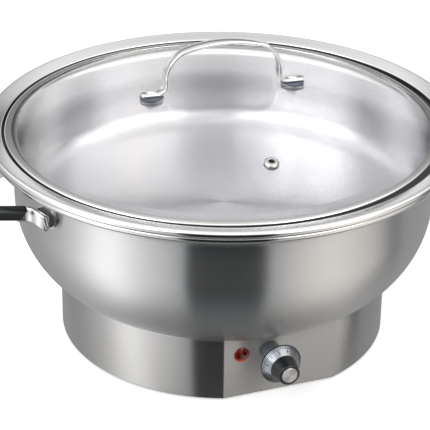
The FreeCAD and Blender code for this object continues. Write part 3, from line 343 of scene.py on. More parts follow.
def moulded(name, tint, roughness, grain=0.8 * MM, depth=0.02 * MM, metallic=0.0, paler=1.5, **more):
    """Moulded or cast finish: a fine grain in the surface and slow changes of shade."""
    tree, place = blank_material(name)
    slow, fine = cloud(tree, place, 12 * MM), cloud(tree, place, grain)
    principled(tree, shade_between(tree, slow, tint, dimmed(tint, paler)),
               spread(tree, fine, roughness - 0.04, roughness + 0.06), metallic,
               Normal=bump(tree, fine, depth), **more)


def ribbed_zinc(tint):
    """Die-cast zinc with a fine thread: grooves 1.6 mm apart along the control's axis, painted darker
    towards their bottoms as painted shade.
    """
    tree, place = blank_material("Die-cast zinc")
    half_pitch = 0.8 * MM
    along = add(tree, "ShaderNodeSeparateXYZ", {"Vector": place}).outputs["Y"]
    height = spread(tree, maths(tree, "PINGPONG", along, half_pitch), 0, 1, 0, half_pitch)
    # Painted shade: the colour goes down to 0.7 of the tint in the grooves
    principled(tree, shade_between(tree, height, dimmed(tint, 0.7), tint),
               spread(tree, cloud(tree, place, 2 * MM), 0.38, 0.5), 0.2,
               Normal=bump(tree, height, 0.15 * MM))


def lens_plastic(tint, middle, radius):
    """Red polycarbonate with small prisms moulded behind its dome. Its colour has painted shade, dark in
    the middle where the unlit lamp lies behind it, and a painted glow at its lower edge, where light comes
    out again."""
    tree, place = blank_material("Red polycarbonate")
    prism = 2.4 * MM
    axes = counted_from(tree, place, middle)
    flat = add(tree, "ShaderNodeCombineXYZ", {"X": axes["X"], "Z": axes["Z"]})
    out = add(tree, "ShaderNodeVectorMath", {0: flat}, operation="LENGTH").outputs["Value"]
    prisms = add(tree, "ShaderNodeTexVoronoi", {"Vector": flat, "Scale": 1 / prism}).outputs["Distance"]
    # Painted light and shade: the lens is dark in the middle and lighter towards its rim
    edge = spread(tree, out, 0, 1, 0.5 * radius, radius)
    mixed = maths(tree, "MULTIPLY_ADD", prisms, 0.45, maths(tree, "MULTIPLY", edge, 0.6))
    red = shade_between(tree, mixed, dimmed(tint, 0.08), tint)
    # Painted glow: orange red towards the lens's lower edge
    low = spread(tree, axes["Z"], 0, 1, -0.45 * radius, -radius)
    principled(tree, shade_between(tree, low, red, srgb("FF5A2E")), spread(tree, prisms, 0.1, 0.2),
               IOR=1.58, Normal=bump(tree, prisms, 0.1 * MM))


# Shapes

WELD = 0.002 * MM


def bend_points(centre, radius, first, last, step=7.5):
    """Points of an arc in the radius and height plane, angles in degrees."""
    count = max(2, ceil(abs(last - first) / step))
    turns = [radians(first + (last - first) * k / count) for k in range(count + 1)]
    return [(centre[0] + radius * cos(t), centre[1] + radius * sin(t)) for t in turns]


def open_tree(name, **inputs):
    """New geometry nodes with inputs of the given kinds and a material, and their input sockets."""
    tree = bpy.data.node_groups.new(name, "GeometryNodeTree")
    tree.interface.new_socket("Geometry", in_out="OUTPUT", socket_type="NodeSocketGeometry")
    for key, kind in (*inputs.items(), ("Material", "Material")):
        tree.interface.new_socket(key, in_out="INPUT", socket_type="NodeSocket" + kind)
    return tree, add(tree, "NodeGroupInput").outputs


def close_tree(tree, given, skin):
    """Ends geometry nodes with one real mesh that has its finish."""
    real = add(tree, "GeometryNodeRealizeInstances", {"Geometry": skin})
    painted = add(tree, "GeometryNodeSetMaterial", {"Geometry": real, "Material": given["Material"]})
    add(tree, "NodeGroupOutput", {"Geometry": painted})
    return tree


def turned_tree():
    """Geometry nodes that turn a profile, drawn as radius and height, into a body round the Z axis."""
    tree, given = open_tree("Turned body", Geometry="Geometry", Steps="Int")
    core = 1 * MM
    circle = add(tree, "GeometryNodeCurvePrimitiveCircle", {"Resolution": given["Steps"], "Radius": core})
    section = add(tree, "GeometryNodeTransform", {
        "Geometry": given["Geometry"], "Translation": (-core, 0, 0), "Scale": (1, -1, 1)})
    skin = add(tree, "GeometryNodeCurveToMesh", {"Curve": circle, "Profile Curve": section})
    return close_tree(tree, given, add(tree, "GeometryNodeMergeByDistance", {
        "Geometry": skin, "Distance": WELD}))


def linked(name, data):
    """New object in the scene."""
    thing = bpy.data.objects.new(name, data)
    bpy.context.scene.collection.objects.link(thing)
    return thing


def plain_mesh(thing):
    """Mesh of what an object shows. The object itself goes."""
    bpy.context.view_layer.update()
    mesh = bpy.data.meshes.new_from_object(thing.evaluated_get(bpy.context.evaluated_depsgraph_get()))
    bpy.data.objects.remove(thing)
    return mesh


def baked(thing, tree, values):
    """Runs geometry nodes on an object and gives their result as a plain mesh."""
    modifier = thing.modifiers.new(tree.name, "NODES")
    modifier.node_group = tree
    for item in tree.interface.items_tree:
        if item.name in values:
            modifier[item.identifier] = values[item.name]
    return plain_mesh(thing)


def finished(name, mesh, place=None, crease=38):
    """Object with a mesh whose faces look out, smooth except at creases, in its place."""
    if place:
        mesh.transform(place)
    work = bmesh.new()
    work.from_mesh(mesh)
    bmesh.ops.remove_doubles(work, verts=work.verts, dist=WELD)
    bmesh.ops.recalc_face_normals(work, faces=work.faces)
    for flat in work.faces:
        flat.smooth = True
    work.to_mesh(mesh)
    work.free()
    mesh.set_sharp_from_angle(angle=radians(crease))
    mesh.name = name
    return linked(name, mesh)


def turned(name, profile, finish, place=None, steps=256):
    """Body turned round Z from a profile of (radius, height) points, closed unless it starts on Z."""
    curve = bpy.data.curves.new(name, "CURVE")
    curve.dimensions = "3D"
    spline = curve.splines.new("POLY")
    spline.points.add(len(profile) - 1)
    for point, (radius, height) in zip(spline.points, profile):
        point.co = (radius, height, 0, 1)
    spline.use_cyclic_u = profile[0][0] > 0
    tree = bpy.data.node_groups.get("Turned body") or turned_tree()
    mesh = baked(linked(name, curve), tree, {"Steps": steps, "Material": material(finish)})
    return finished(name, mesh, place)


def skinned(name, rings, finish, closed=True, place=None):
    """Mesh through a row of rings of points: closed joins the last ring to the first, and otherwise both
    ends are capped."""
    work = bmesh.new()
    rows = [[work.verts.new(point) for point in ring] for ring in rings]
    for low, high in list(zip(rows, rows[1:])) + ([(rows[-1], rows[0])] if closed else []):
        for k in range(len(low)):
            work.faces.new((low[k - 1], low[k], high[k], high[k - 1]))
    if not closed:
        work.faces.new(rows[0])
        work.faces.new(rows[-1])
    mesh = bpy.data.meshes.new(name)
    work.to_mesh(mesh)
    work.free()
    mesh.materials.append(material(finish))
    return finished(name, mesh, place)


def smooth_copy(name, node, finish):
    """Copy of a CAD node with its triangles joined, so that its curved faces shade smoothly."""
    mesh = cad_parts[node].data.copy()
    mesh.materials.clear()
    mesh.materials.append(material(finish))
    for polygon in mesh.polygons:
        polygon.material_index = 0
    return finished(name, mesh, crease=30)


def refinish(thing, finish, where):
    """Another finish for the faces whose middle passes a test."""
    thing.data.materials.append(material(finish))
    for polygon in thing.data.polygons:
        if where(polygon.center):
            polygon.material_index = len(thing.data.materials) - 1


def from_axis(point):
    return hypot(point.x, point.y)


def settle(thing, body, *nodes):
    """Piece rides on its body and stands for its CAD nodes."""
    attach(thing, body)
    if nodes:
        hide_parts(*nodes)


def on_lid(lid):
    """Where the loose lid lies in the pan's rim."""
    return Matrix.Translation((-lid.shift_x, lid.shift_y, 0)) @ Matrix.Rotation(lid.turn, 4, "Z")


def on_panel(scene, piece):
    """Turns a body made round Z so that its Z is the way out of the panel, at its offset and height."""
    middle = (-piece.offset, -scene.chafer_base.panel, piece.height)
    return Matrix.Translation(middle) @ Matrix.Rotation(pi / 2, 4, "X")


# Finishes of the works: name, colour, roughness, metallic share and how much paler its patches are
WORKS_FINISHES = (
    ("Brass", "C9A557", 0.28, 1.0, 0.85),
    ("Aluminium", "B9BCBE", 0.38, 1.0, 0.85),
    ("Oxidised heater sheath", "4A4C4B", 0.5, 0.8, 1.5),
    ("Glazed ceramic", "E6E1D4", 0.3, 0.0, 0.94),
    ("Copper", "B87050", 0.3, 1.0, 0.85),
    ("White nylon", "DDDAD0", 0.45, 0.0, 0.95),
    ("Silicone sleeve", "A4412E", 0.5, 0.0, 1.2))


class CHAFER_OT_finishes(bpy.types.Operator):
    """Makes the finishes that several pieces share"""
    bl_idname = "chafer.finishes"
    bl_label = "Finishes"

    def execute(self, context):
        tints = context.scene.chafer_finishes
        brushed_steel("Brushed stainless steel", tints.steel, 0.26, 1.0)
        brushed_steel("Brushed base steel", tints.panel, 0.25, 1.0)
        # The flat panel's steel is the base's own steel dimmed to 0.76: painted shade
        brushed_steel("Brushed panel steel with painted shade", dimmed(tints.panel, 0.76), 0.4, 0.9)
        brushed_steel("Brushed pan steel", tints.pan, 0.26, 1.0)
        # Dark steel for the groove round the lid and the vent's bore: painted shade
        brushed_steel("Steel painted dark as shade", tints.gap, 0.4, 0.4)
        brushed_steel("Buffed rim steel", tints.rim, 0.15, 0.7, 0.0003 * MM)
        polished_steel("Polished stainless steel", tints.bright)
        polished_steel("Chromed steel", tints.bright, 0.28)
        tempered_glass(tints.glass)
        ribbed_zinc(tints.collar)
        knob, lamp = context.scene.chafer_knob, context.scene.chafer_lamp
        knob_middle, lamp_middle = (Vector((-s.offset, 0, s.height)) for s in (knob, lamp))
        # Both spun finishes get painted wedges of highlight and shade; the last number is how much darker
        # the dark pair is
        spun_aluminium("Spun aluminium", tints.skirt, 0.3, knob_middle, 0.3)
        spun_aluminium("Spun bright aluminium", tints.cap, 0.34, knob_middle, 0.45)
        lens_plastic(tints.lens, lamp_middle, lamp.radius)
        moulded("Black phenolic", tints.plastic, 0.33, depth=0.006 * MM)
        moulded("Satin steel", dimmed(tints.bright, 0.72), 0.34, 1 * MM, 0.002 * MM, 1.0, 0.95)
        # The upper washers are dark grey and the lower ones clear
        moulded("Dark grey washer finish", tints.seat, 0.2, depth=0.01 * MM)
        moulded("Clear silicone", tints.washer, 0.12, depth=0.01 * MM, paler=0.95,
                Transmission_Weight=0.85, IOR=1.41)
        # The handle's spacers are painted dark grey: painted shade behind the handle's feet
        moulded("Spacer grey with painted shade", tints.spacer, 0.4, 0.6 * MM)
        moulded("Printed ink", tints.marks, 0.5)
        moulded("Black rubber", tints.rubber, 0.7, 0.5 * MM)
        moulded("Galvanised steel", srgb("A7ABAD"), 0.42, 6 * MM, 0.01 * MM, 1.0, 0.8)
        for name, code, roughness, metallic, paler in WORKS_FINISHES:
            moulded(name, srgb(code), roughness, metallic=metallic, paler=paler)
        return {"FINISHED"}


# Points along the flat, along each bend beside it and round the rest of the base
FLAT_STEPS, BEND_STEPS, ROUND_STEPS = 12, 12, 110


def base_outline(radius, distance, corner, height):
    """Ring of points round the base: a circle with one flat side and a small bend beside it."""
    reach = sqrt((radius - corner) ** 2 - (distance - corner) ** 2)
    middle = Vector((reach, distance - corner))
    flat_end, round_start = atan2(reach, distance), atan2(reach, distance - corner)
    span, rest = round_start - flat_end, pi - round_start
    bend = [flat_end + span * (k / BEND_STEPS) for k in range(-BEND_STEPS // 2, BEND_STEPS * 3 // 2 + 1)]
    half = sorted({round(flat_end * k / FLAT_STEPS, 6) for k in range(FLAT_STEPS)}
                  | {round(turn, 6) for turn in bend if turn > 0.9 * flat_end}
                  | {round(round_start + rest * k / ROUND_STEPS, 6) for k in range(2, ROUND_STEPS + 1)})
    turns = half + [-t for t in reversed(half) if 0 < t < pi]
    points = []
    for turn in turns:
        way = Vector((abs(sin(turn)), cos(turn)))
        if abs(turn) <= flat_end:
            out = distance / way.y
        elif abs(turn) >= round_start:
            out = radius
        else:
            ahead = way.dot(middle)
            out = ahead + sqrt(max(0, ahead ** 2 - middle.length_squared + corner ** 2))
        points.append((out * sin(turn), -out * cos(turn), height))
    return points


class CHAFER_OT_base(bpy.types.Operator):
    """Makes the base ring with its flat control panel"""
    bl_idname = "chafer.base"
    bl_label = "Base ring"

    def execute(self, context):
        s = context.scene.chafer_base
        bend, least_corner, step = s.bend, 0.3 * MM, 22.5

        def ring(inset, height):
            corner = max(s.corner - inset, least_corner)
            return base_outline(s.radius - inset, s.panel - inset, corner, height)

        lower = bend_points((0, s.lift + bend), bend, -90, 0, step)
        upper = bend_points((0, s.top - bend), bend, 0, 90, step)
        under, over = s.top - s.sheet, s.lift + s.sheet
        inside = ((s.top_flange, s.top), (s.top_flange, under), (0, under), (0, over),
                  (s.bottom_flange, over))
        rings = [ring(s.bottom_flange + s.sheet, s.lift)]
        rings += [ring(bend - x, z) for x, z in lower + upper]
        rings += [ring(width + s.sheet, z) for width, z in inside]
        shell = skinned("base_ring", rings, "Brushed base steel")
        # Painted shade: the flat panel's faces get the darker copy of the base steel
        near_front = 0.4 * MM - s.panel
        refinish(shell, "Brushed panel steel with painted shade", lambda face: face.y < near_front)
        settle(shell, "base", "base_housing")
        return {"FINISHED"}


def bowl_side(s, foot, inset):
    """Profile of one side of the bowl's sheet, from the axis to the lip."""
    curve = (s.wall - s.curve, s.curve_height)
    rise = s.curve_height - foot - s.knuckle
    reach = sqrt((s.curve - s.knuckle) ** 2 - rise ** 2)
    knuckle = (curve[0] + reach, foot + s.knuckle)
    meet = -degrees(atan2(rise, reach))
    cove = (s.wall + s.cove, s.cove_height)
    return ([(0, foot + inset), (0.5 * knuckle[0], foot + inset)]
            + bend_points(knuckle, s.knuckle - inset, -90, meet)
            + bend_points(curve, s.curve - inset, meet, 0, 2.5)[1:]
            + bend_points(cove, s.cove + inset, 180, 90))


class CHAFER_OT_bowl(bpy.types.Operator):
    """Makes the water bowl with its rolled lip"""
    bl_idname = "chafer.bowl"
    bl_label = "Water bowl"

    def execute(self, context):
        s, pan = context.scene.chafer_bowl, context.scene.chafer_pan
        foot, gap = context.scene.chafer_base.top, 0.3 * MM
        drop = sqrt((2 * s.bead + gap) ** 2 - (pan.bead_circle - s.lip) ** 2)
        middle = pan.bead_height - drop
        outside, inside = bowl_side(s, foot, 0), bowl_side(s, foot, s.sheet)
        under, over = (degrees(asin((side[-1][1] - middle) / s.bead)) for side in (outside, inside))
        roll = bend_points((s.lip, middle), s.bead, -180 - under, 180 - over, 12)
        bowl = turned("water_bowl_shell", outside + roll + inside[::-1], "Brushed stainless steel")
        lip_start = s.cove_height + 0.97 * s.cove
        refinish(bowl, "Buffed rim steel", lambda face: face.z > lip_start)
        settle(bowl, "base", "water_bowl")
        return {"FINISHED"}


def pan_side(s, bead, drop):
    """Profile of one side of the pan's sheet, from the axis to the rim."""
    tilt = 90 + degrees(s.rim_slope)
    wall = s.floor + s.corner
    edge = (wall + s.ledge_edge, s.ledge - s.ledge_edge)
    heel = (s.riser - s.riser_foot, s.ledge + s.riser_foot)
    crest_radius = s.riser + s.riser_edge
    lift = bead - s.riser_edge + (crest_radius - s.bead_circle) * sin(s.rim_slope)
    crest = (crest_radius, s.bead_height + lift / cos(s.rim_slope))
    return ([(0, s.floor_height - drop), (0.5 * s.floor, s.floor_height - drop)]
            + bend_points((s.floor, s.floor_height + s.corner), s.corner + drop, -90, 0)
            + bend_points(edge, s.ledge_edge - drop, 180, 90, 15)
            + bend_points(heel, s.riser_foot + drop, -90, 0, 18)
            + bend_points(crest, s.riser_edge - drop, 180, tilt, 18))


class CHAFER_OT_pan(bpy.types.Operator):
    """Makes the food pan with its ledge, sloping rim and bead"""
    bl_idname = "chafer.pan"
    bl_label = "Food pan"

    def execute(self, context):
        s, lid = context.scene.chafer_pan, context.scene.chafer_lid
        bead, rolled = context.scene.chafer_bowl.bead, 320
        tilt = 90 + degrees(s.rim_slope)
        roll = bend_points((s.bead_circle, s.bead_height), bead, tilt, tilt - rolled, 12)
        profile = pan_side(s, bead, 0) + roll + pan_side(s, bead, s.sheet)[::-1]
        pan = turned("food_pan_shell", profile, "Brushed pan steel")
        ledge = s.floor + s.corner + s.ledge_edge / 3
        refinish(pan, "Buffed rim steel", lambda face: from_axis(face) > ledge)
        # Painted shade: the groove between the lid's band and the pan's riser gets dark steel
        groove, riser = lid.band - 2 * lid.shift_x, s.riser + 0.2 * MM
        refinish(pan, "Steel painted dark as shade", lambda face: groove < from_axis(face) < riser)
        settle(pan, "food_pan", "food_pan")
        return {"FINISHED"}


def dome(edge, height, apex):
    """Height of the middle and the radius of a dome through its edge and its apex."""
    rise = apex - height
    radius = (edge ** 2 + rise ** 2) / (2 * rise)
    return apex - radius, radius


def dome_points(edge, height, apex):
    """Points of a dome's curve from its apex to its edge."""
    (middle, radius), count = dome(edge, height, apex), 28
    outs = [edge * k / count for k in range(count + 1)]
    return [(out, middle + sqrt(radius ** 2 - out ** 2)) for out in outs]


def glass_rim(lid):
    """Radius of the glass and the height of its upper side, under the band."""
    play = 0.2 * MM
    return lid.band - lid.band_sheet - play, lid.band_bottom + lid.band_height - lid.band_sheet


def strap_seat(lid, strap):
    """Height of the strap's middle at its feet."""
    rim, top = glass_rim(lid)
    middle, radius = dome(rim - lid.glass_rim, top, lid.apex)
    return middle + sqrt(radius ** 2 - lid.screw_span ** 2) + strap.washer + strap.thickness / 2


class CHAFER_OT_lid(bpy.types.Operator):
    """Makes the domed glass and the steel band folded over its edge"""
    bl_idname = "chafer.lid"
    bl_label = "Lid"

    def execute(self, context):
        s = context.scene.chafer_lid
        place = on_lid(s)
        rim, flat_top = glass_rim(s)
        flat_bottom, edge = flat_top - s.glass, rim - s.glass_rim
        profile = (dome_points(edge, flat_top, s.apex) + [(rim, flat_top), (rim, flat_bottom)]
                   + dome_points(edge - s.glass / 3, flat_bottom, s.apex - s.glass)[::-1])
        settle(turned("lid_glass_dome", profile, "Tempered glass", place), "lid", "lid_glass")
        top, inner, gap = s.band_bottom + s.band_height, s.band - s.band_width, 0.1 * MM
        around = bend_points((s.band - s.band_round, top - s.band_round), s.band_round, 0, 90, 15)
        profile = ([(inner, s.band_bottom), (s.band, s.band_bottom)] + around
                   + [(inner, top), (inner, flat_top), (rim + gap, flat_top), (rim + gap, flat_bottom),
                      (inner, flat_bottom)])
        settle(turned("lid_rim_band", profile, "Polished stainless steel", place), "lid", "lid_band")
        return {"FINISHED"}


def strap_line(s, base, screw_span):
    """Middle line of half the strap, from the top of the arch to the end of a foot."""
    swing = s.top - s.corner
    lean = degrees(asin((s.half_span - s.corner) / swing))
    top = base + s.rise - s.top
    shoulder = (swing * sin(radians(lean)), top + swing * cos(radians(lean)))
    heel = (s.half_span + s.foot, base + s.foot)
    line = bend_points((0, top), s.top, 90, 90 - lean, 3) + bend_points(shoulder, s.corner, 90 - lean, 0)[1:]
    line += bend_points(heel, s.foot, 180, 270)
    steps = [s.end_corner * (1 - cos(radians(turn))) for turn in range(90, -1, -15)]
    return line + [(screw_span + s.reach - short, base) for short in steps]


class CHAFER_OT_strap(bpy.types.Operator):
    """Makes the arched strap handle on the lid"""
    bl_idname = "chafer.strap"
    bl_label = "Lid handle"

    def execute(self, context):
        s, lid = context.scene.chafer_strap, context.scene.chafer_lid
        half = strap_line(s, strap_seat(lid, s), lid.screw_span)
        line = [(-x, z) for x, z in reversed(half[1:])] + half
        round_end = s.thickness / 2 - 0.05 * MM
        end = lid.screw_span + s.reach
        rings = []
        for k, (x, z) in enumerate(line):
            before, after = Vector(line[max(k - 1, 0)]), Vector(line[min(k + 1, len(line) - 1)])
            way = (after - before).normalized()
            rise = Vector((-way.y, way.x))
            left = max(0, s.end_corner - (end - abs(x))) if abs(x) > lid.screw_span else 0
            narrow = s.end_corner - sqrt(max(0, s.end_corner ** 2 - left ** 2))
            wide = s.width / 2 - narrow - round_end
            ring = []
            for centre, first in ((wide, 0), (-wide, 180)):
                for turn in range(0, 181, 30):
                    angle_here = radians(first - 90 + turn)
                    across = centre + round_end * cos(angle_here)
                    out = s.thickness / 2 * sin(angle_here)
                    ring.append((x + rise.x * out, across, z + rise.y * out))
            rings.append(ring)
        strap = skinned("lid_strap", rings, "Polished stainless steel", False, on_lid(lid))
        settle(strap, "lid", "lid_handle")
        for name, node in (("lid_screw_heads", "lid_screws"), ("lid_dome_nuts", "lid_nuts")):
            settle(smooth_copy(name, node, "Polished stainless steel"), "lid", node)
        self.vent(lid)
        return {"FINISHED"}

    def vent(self, lid):
        """Steam vent, square to the glass, with painted shade: its bore gets dark steel."""
        ring = smooth_copy("vent_ring", "vent_eyelet", "Satin steel")
        low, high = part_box("vent_eyelet")
        middle = (Vector(low) + Vector(high)) / 2
        low_middle = dome(lid.band - lid.glass_rim, lid.band_bottom + lid.band_height, lid.apex)[0]
        axis = (middle - Vector((-lid.shift_x, lid.shift_y, low_middle))).normalized()
        # Painted shade: the faces round the vent's axis, in its bore, get dark steel
        bore = 2.5 * MM
        refinish(ring, "Steel painted dark as shade", lambda face: (face - middle).cross(axis).length < bore)
        settle(ring, "lid", "vent_eyelet")


class CHAFER_OT_handles(bpy.types.Operator):
    """Makes the side grips and their feet"""
    bl_idname = "chafer.handles"
    bl_label = "Side handles"

    def execute(self, context):
        for side in ("left", "right"):
            for piece, finish in (("grip_", "Black phenolic"), ("feet_", "Chromed steel")):
                node = "handle_" + piece + side
                settle(smooth_copy(piece + side, node, finish), "base", node)
        return {"FINISHED"}


def tick_tree():
    """Geometry nodes that set short marks round the dial's cone, each a flat bar on the skirt."""
    tree, given = open_tree("Dial marks", Count="Int", First="Float", Sweep="Float", Radius="Float",
                            Height="Float", Slope="Float", Bar="Vector")
    bar = add(tree, "GeometryNodeMeshCube", {"Size": given["Bar"]})
    row = add(tree, "GeometryNodeMeshLine", {"Count": given["Count"], "Offset": (0, 0, 0)})
    share = maths(tree, "DIVIDE", add(tree, "GeometryNodeInputIndex"),
                  maths(tree, "SUBTRACT", given["Count"], 1.0))
    turn = maths(tree, "ADD", given["First"], maths(tree, "MULTIPLY", share, given["Sweep"]))
    place = add(tree, "ShaderNodeCombineXYZ", {
        "X": maths(tree, "MULTIPLY", given["Radius"], maths(tree, "COSINE", turn)),
        "Y": maths(tree, "MULTIPLY", given["Radius"], maths(tree, "SINE", turn)), "Z": given["Height"]})
    set_out = add(tree, "GeometryNodeSetPosition", {"Geometry": row, "Position": place})
    heading = add(tree, "ShaderNodeCombineXYZ", {"Y": given["Slope"], "Z": turn})
    return close_tree(tree, given, add(tree, "GeometryNodeInstanceOnPoints", {
        "Points": set_out, "Instance": bar, "Rotation": heading}))


# The dial runs from its lower right to its lower left, anticlockwise. Rows of marks: name, count, share of
# the way in from the skirt's edge, and length. Numbers lie further in
DIAL_START, DIAL_SWEEP = radians(-45), radians(270)
DIAL_MARKS = (("dial_fine_marks", 55, 0.16, 2.2 * MM), ("dial_main_marks", 10, 0.22, 3 * MM))
MARK_WIDTH, MARK_THICKNESS, MARK_RISE = 0.5 * MM, 0.05 * MM, 0.02 * MM
DIGITS, DIGIT_SHARE, DIGIT_SIZE = 10, 0.6, 2.8 * MM


class CHAFER_OT_knob(bpy.types.Operator):
    """Makes the control knob, its graduated skirt and the collar behind it"""
    bl_idname = "chafer.knob"
    bl_label = "Control knob"

    def execute(self, context):
        s = context.scene.chafer_knob
        place, steps = on_panel(context.scene, s), 96
        back, front = s.standoff, s.standoff + s.length
        seat = back + s.rim_thickness
        skirt_end, recess = seat + s.skirt_length, front - 0.7 * MM
        fine, nick, chamfer, round_front = 0.15 * MM, 0.2 * MM, 0.3 * MM, 1.1 * MM
        corner = bend_points((s.front - round_front, front - round_front), round_front, 8, 90, 12)
        profile = ([(0, back), (s.rim - chamfer, back), (s.rim, back + chamfer), (s.rim, seat - nick),
                    (s.rim - nick, seat), (s.hub, seat), (s.hub, skirt_end), (s.grip - nick, skirt_end),
                    (s.grip, skirt_end + chamfer)] + corner
                   + [(s.cap + nick, front), (s.cap, front - nick), (s.cap, recess), (0, recess)])
        settle(turned("knob_grip", profile, "Black phenolic", place, steps), "knob", "knob_body")
        outer, edge = s.rim - s.skirt_inset, seat + s.skirt_edge
        profile = [(s.hub, seat), (outer - nick, seat), (outer, seat + nick), (outer, edge - fine),
                   (outer - fine, edge), (s.skirt_top, skirt_end), (s.hub, skirt_end)]
        settle(turned("knob_dial_skirt", profile, "Spun aluminium", place, steps), "knob", "knob_skirt")
        face, edge_in, edge_back = front + s.cap_proud, 0.5 * MM, 0.4 * MM
        profile = [(0, face), (0.3 * s.cap, face), (s.cap - edge_in, face), (s.cap, face - edge_back),
                   (s.cap, recess), (0, recess)]
        settle(turned("knob_face_cap", profile, "Spun bright aluminium", place, steps), "knob", "knob_cap")
        self.marks(s, place, outer, edge)
        settle(smooth_copy("collar_sleeve", "spindle_collar", "Die-cast zinc"), "base", "spindle_collar")
        return {"FINISHED"}

    def marks(self, s, place, outer, edge):
        """Printed marks and plain numbers round the skirt."""
        run, drop = outer - s.skirt_top, s.skirt_length - s.skirt_edge
        slope, tree = atan2(drop, run), tick_tree()
        for name, count, share, length in DIAL_MARKS:
            mesh = baked(linked(name, bpy.data.meshes.new(name)), tree, {
                "Count": count, "First": DIAL_START, "Sweep": DIAL_SWEEP, "Radius": outer - run * share,
                "Height": edge + drop * share + MARK_RISE, "Slope": slope,
                "Bar": (length, MARK_WIDTH, MARK_THICKNESS), "Material": material("Printed ink")})
            settle(finished(name, mesh, place), "knob")
        self.numbers(place, outer - run * DIGIT_SHARE, edge + drop * DIGIT_SHARE, slope)

    def numbers(self, place, radius, height, slope):
        """Plain numbers on the skirt, their tops outwards."""
        digits = bmesh.new()
        for k in range(DIGITS):
            curve = bpy.data.curves.new("number", "FONT")
            curve.body = str(k)
            curve.size = DIGIT_SIZE
            curve.align_x, curve.align_y = "CENTER", "CENTER"
            curve.offset, curve.extrude = 0.08 * MM, 0.03 * MM
            mesh = plain_mesh(linked("number", curve))
            turn = DIAL_START + DIAL_SWEEP * k / (DIGITS - 1)
            out = Vector((cos(turn), sin(turn), 0))
            up = out * cos(slope) - UP * sin(slope)
            away = out * sin(slope) + UP * cos(slope)
            stand = Matrix((up.cross(away), up, away)).transposed().to_4x4()
            mesh.transform(Matrix.Translation(out * radius + UP * height) @ stand)
            digits.from_mesh(mesh)
        joined = bpy.data.meshes.new("dial_numbers")
        digits.to_mesh(joined)
        digits.free()
        joined.materials.append(material("Printed ink"))
        settle(finished("dial_numbers", joined, place), "knob")


class CHAFER_OT_lamp(bpy.types.Operator):
    """Makes the red lens of the pilot lamp"""
    bl_idname = "chafer.lamp"
    bl_label = "Pilot lamp"

    def execute(self, context):
        s = context.scene.chafer_lamp
        rise = s.rise - s.lip
        bulge = (s.radius ** 2 + rise ** 2) / (2 * rise)
        top = degrees(acos(s.radius / bulge))
        profile = [(0, 0), (s.radius, 0)] + bend_points((0, s.rise - bulge), bulge, top, 90, 3)
        lens = turned("lamp_red_lens", profile, "Red polycarbonate", on_panel(context.scene, s), 64)
        settle(lens, "base", "lamp_lens")
        return {"FINISHED"}


FINISH_OF_NODE = {
    "Galvanised steel": "bottom_plate element_clamp clamp_nut clamp_stud earth_stud lamp_clip stud_nuts "
                        "stud_washers plate_screws knob_set_screw",
    "Black rubber": "rubber_feet",
    # The spacers take the dark grey of painted shade
    "Spacer grey with painted shade": "handle_spacers",
    "Dark grey washer finish": "lid_washers_upper",
    "Clear silicone": "lid_washers_lower",
    "Chromed steel": "handle_plates",
    "Polished stainless steel": "bowl_studs handle_screws handle_washers thermostat_spindle",
    "Aluminium": "heat_spreader thermal_cutout",
    "Oxidised heater sheath": "heating_element",
    "Glazed ceramic": "element_seals terminal_block",
    "Brass": "element_pins earth_nut knob_insert terminal_screws thermostat_tabs",
    "Copper": "capillary sensing_bulb",
    "White nylon": "lamp_body",
    "Silicone sleeve": "internal_wires",
    "Black phenolic": "thermostat_body cord_gland gland_nut",
    "Satin steel": "bulb_clip",
}


class CHAFER_OT_fittings(bpy.types.Operator):
    """Gives the fasteners and the working parts inside their finishes"""
    bl_idname = "chafer.fittings"
    bl_label = "Fittings"

    def execute(self, context):
        for finish, nodes in FINISH_OF_NODE.items():
            for node in nodes.split():
                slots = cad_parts[node].data.materials
                slots.clear()
                slots.append(material(finish))
        return {"FINISHED"}


# Soft banks and flags of the studio as steel and glass see them: azimuth, half width and the soft part
# of that width, elevation and half height, and the share of the white background that a bank adds to the
# dull share everywhere, or that a flag takes away. Azimuth 0 is +X and 90 is +Y, angles are in degrees
DULL_SHARE, BANK_EDGE = 0.35, 10
LIGHT_BANKS = (
    (-177, 62, 1.0, -16, 42, 0.62),
    (-177, 24, 1.0, -16, 42, 0.5),
    (150, 100, 0.4, -16, 42, 0.13),
    (-48, 50, 1.0, -16, 42, 0.7),
    (72, 60, 0.5, 3, 18, 0.5),
    (0, 400, 0.5, -90, 34, -0.15),
    (0, 400, 0.5, 90, 67, 0.68),
    (0, 400, 0.5, 90, 36, 0.25),
    (-168, 44, 0.8, 35, 22, 3.9),
    (-62, 36, 0.8, 35, 22, 2.9),
    (-10, 30, 0.8, 46, 16, 1.3),
    (133, 36, 0.6, 38, 24, 0.3),
    (-100, 60, 0.5, 50, 16, 0.6),
    (25, 32, 0.3, -26, 34, 0.09),
    (-22, 14, 0.5, -20, 38, 0.12))
DARK_FLAGS = (
    (-109, 24, 0.15, -16, 44, 0.95),
    (-9, 5, 0.4, -22, 34, 0.75),
    (70, 36, 0.6, 27, 14, 0.3),
    (69, 14, 0.6, 54, 14, 0.22),
    (70, 30, 0.7, -30, 22, 0.6))
# Patches that are warm or cool in the mirrored studio, without a share, and their tints
WARM_PATCH, WARM_TINT = (-45, 40, 0.7, 0, 80), (1, 0.965, 0.91)
COOL_PATCH, COOL_TINT = (-109, 30, 0.3, -30, 44), (0.88, 0.95, 1)
# Share of the white background that lights matt pieces, and the floor's half width and own glow
MATT_SHARE, FLOOR_HALF, FLOOR_GLOW = 0.8, 6.0, 0.45
# The camera: focal length and sensor in mm, its place, and its picture's right and up
FOCAL, SENSOR, CAMERA_PLACE = 155.5, 36, (-0.5106, -1.3095, 0.8276)
CAMERA_RIGHT = Vector((0.9356768, -0.35264498, 0.01226555))
CAMERA_UP = Vector((0.1524386, 0.43532776, 0.88727235))
# Lamps: name, place, width in metres and power in watts. They look at the middle of the dish
LAMPS = (("Key", (-1.6, -1.4, 2.2), 1.4, 14), ("Fill", (2.0, -0.8, 1.8), 1.6, 8))
DISH_MIDDLE = Vector((0, 0, 0.12))


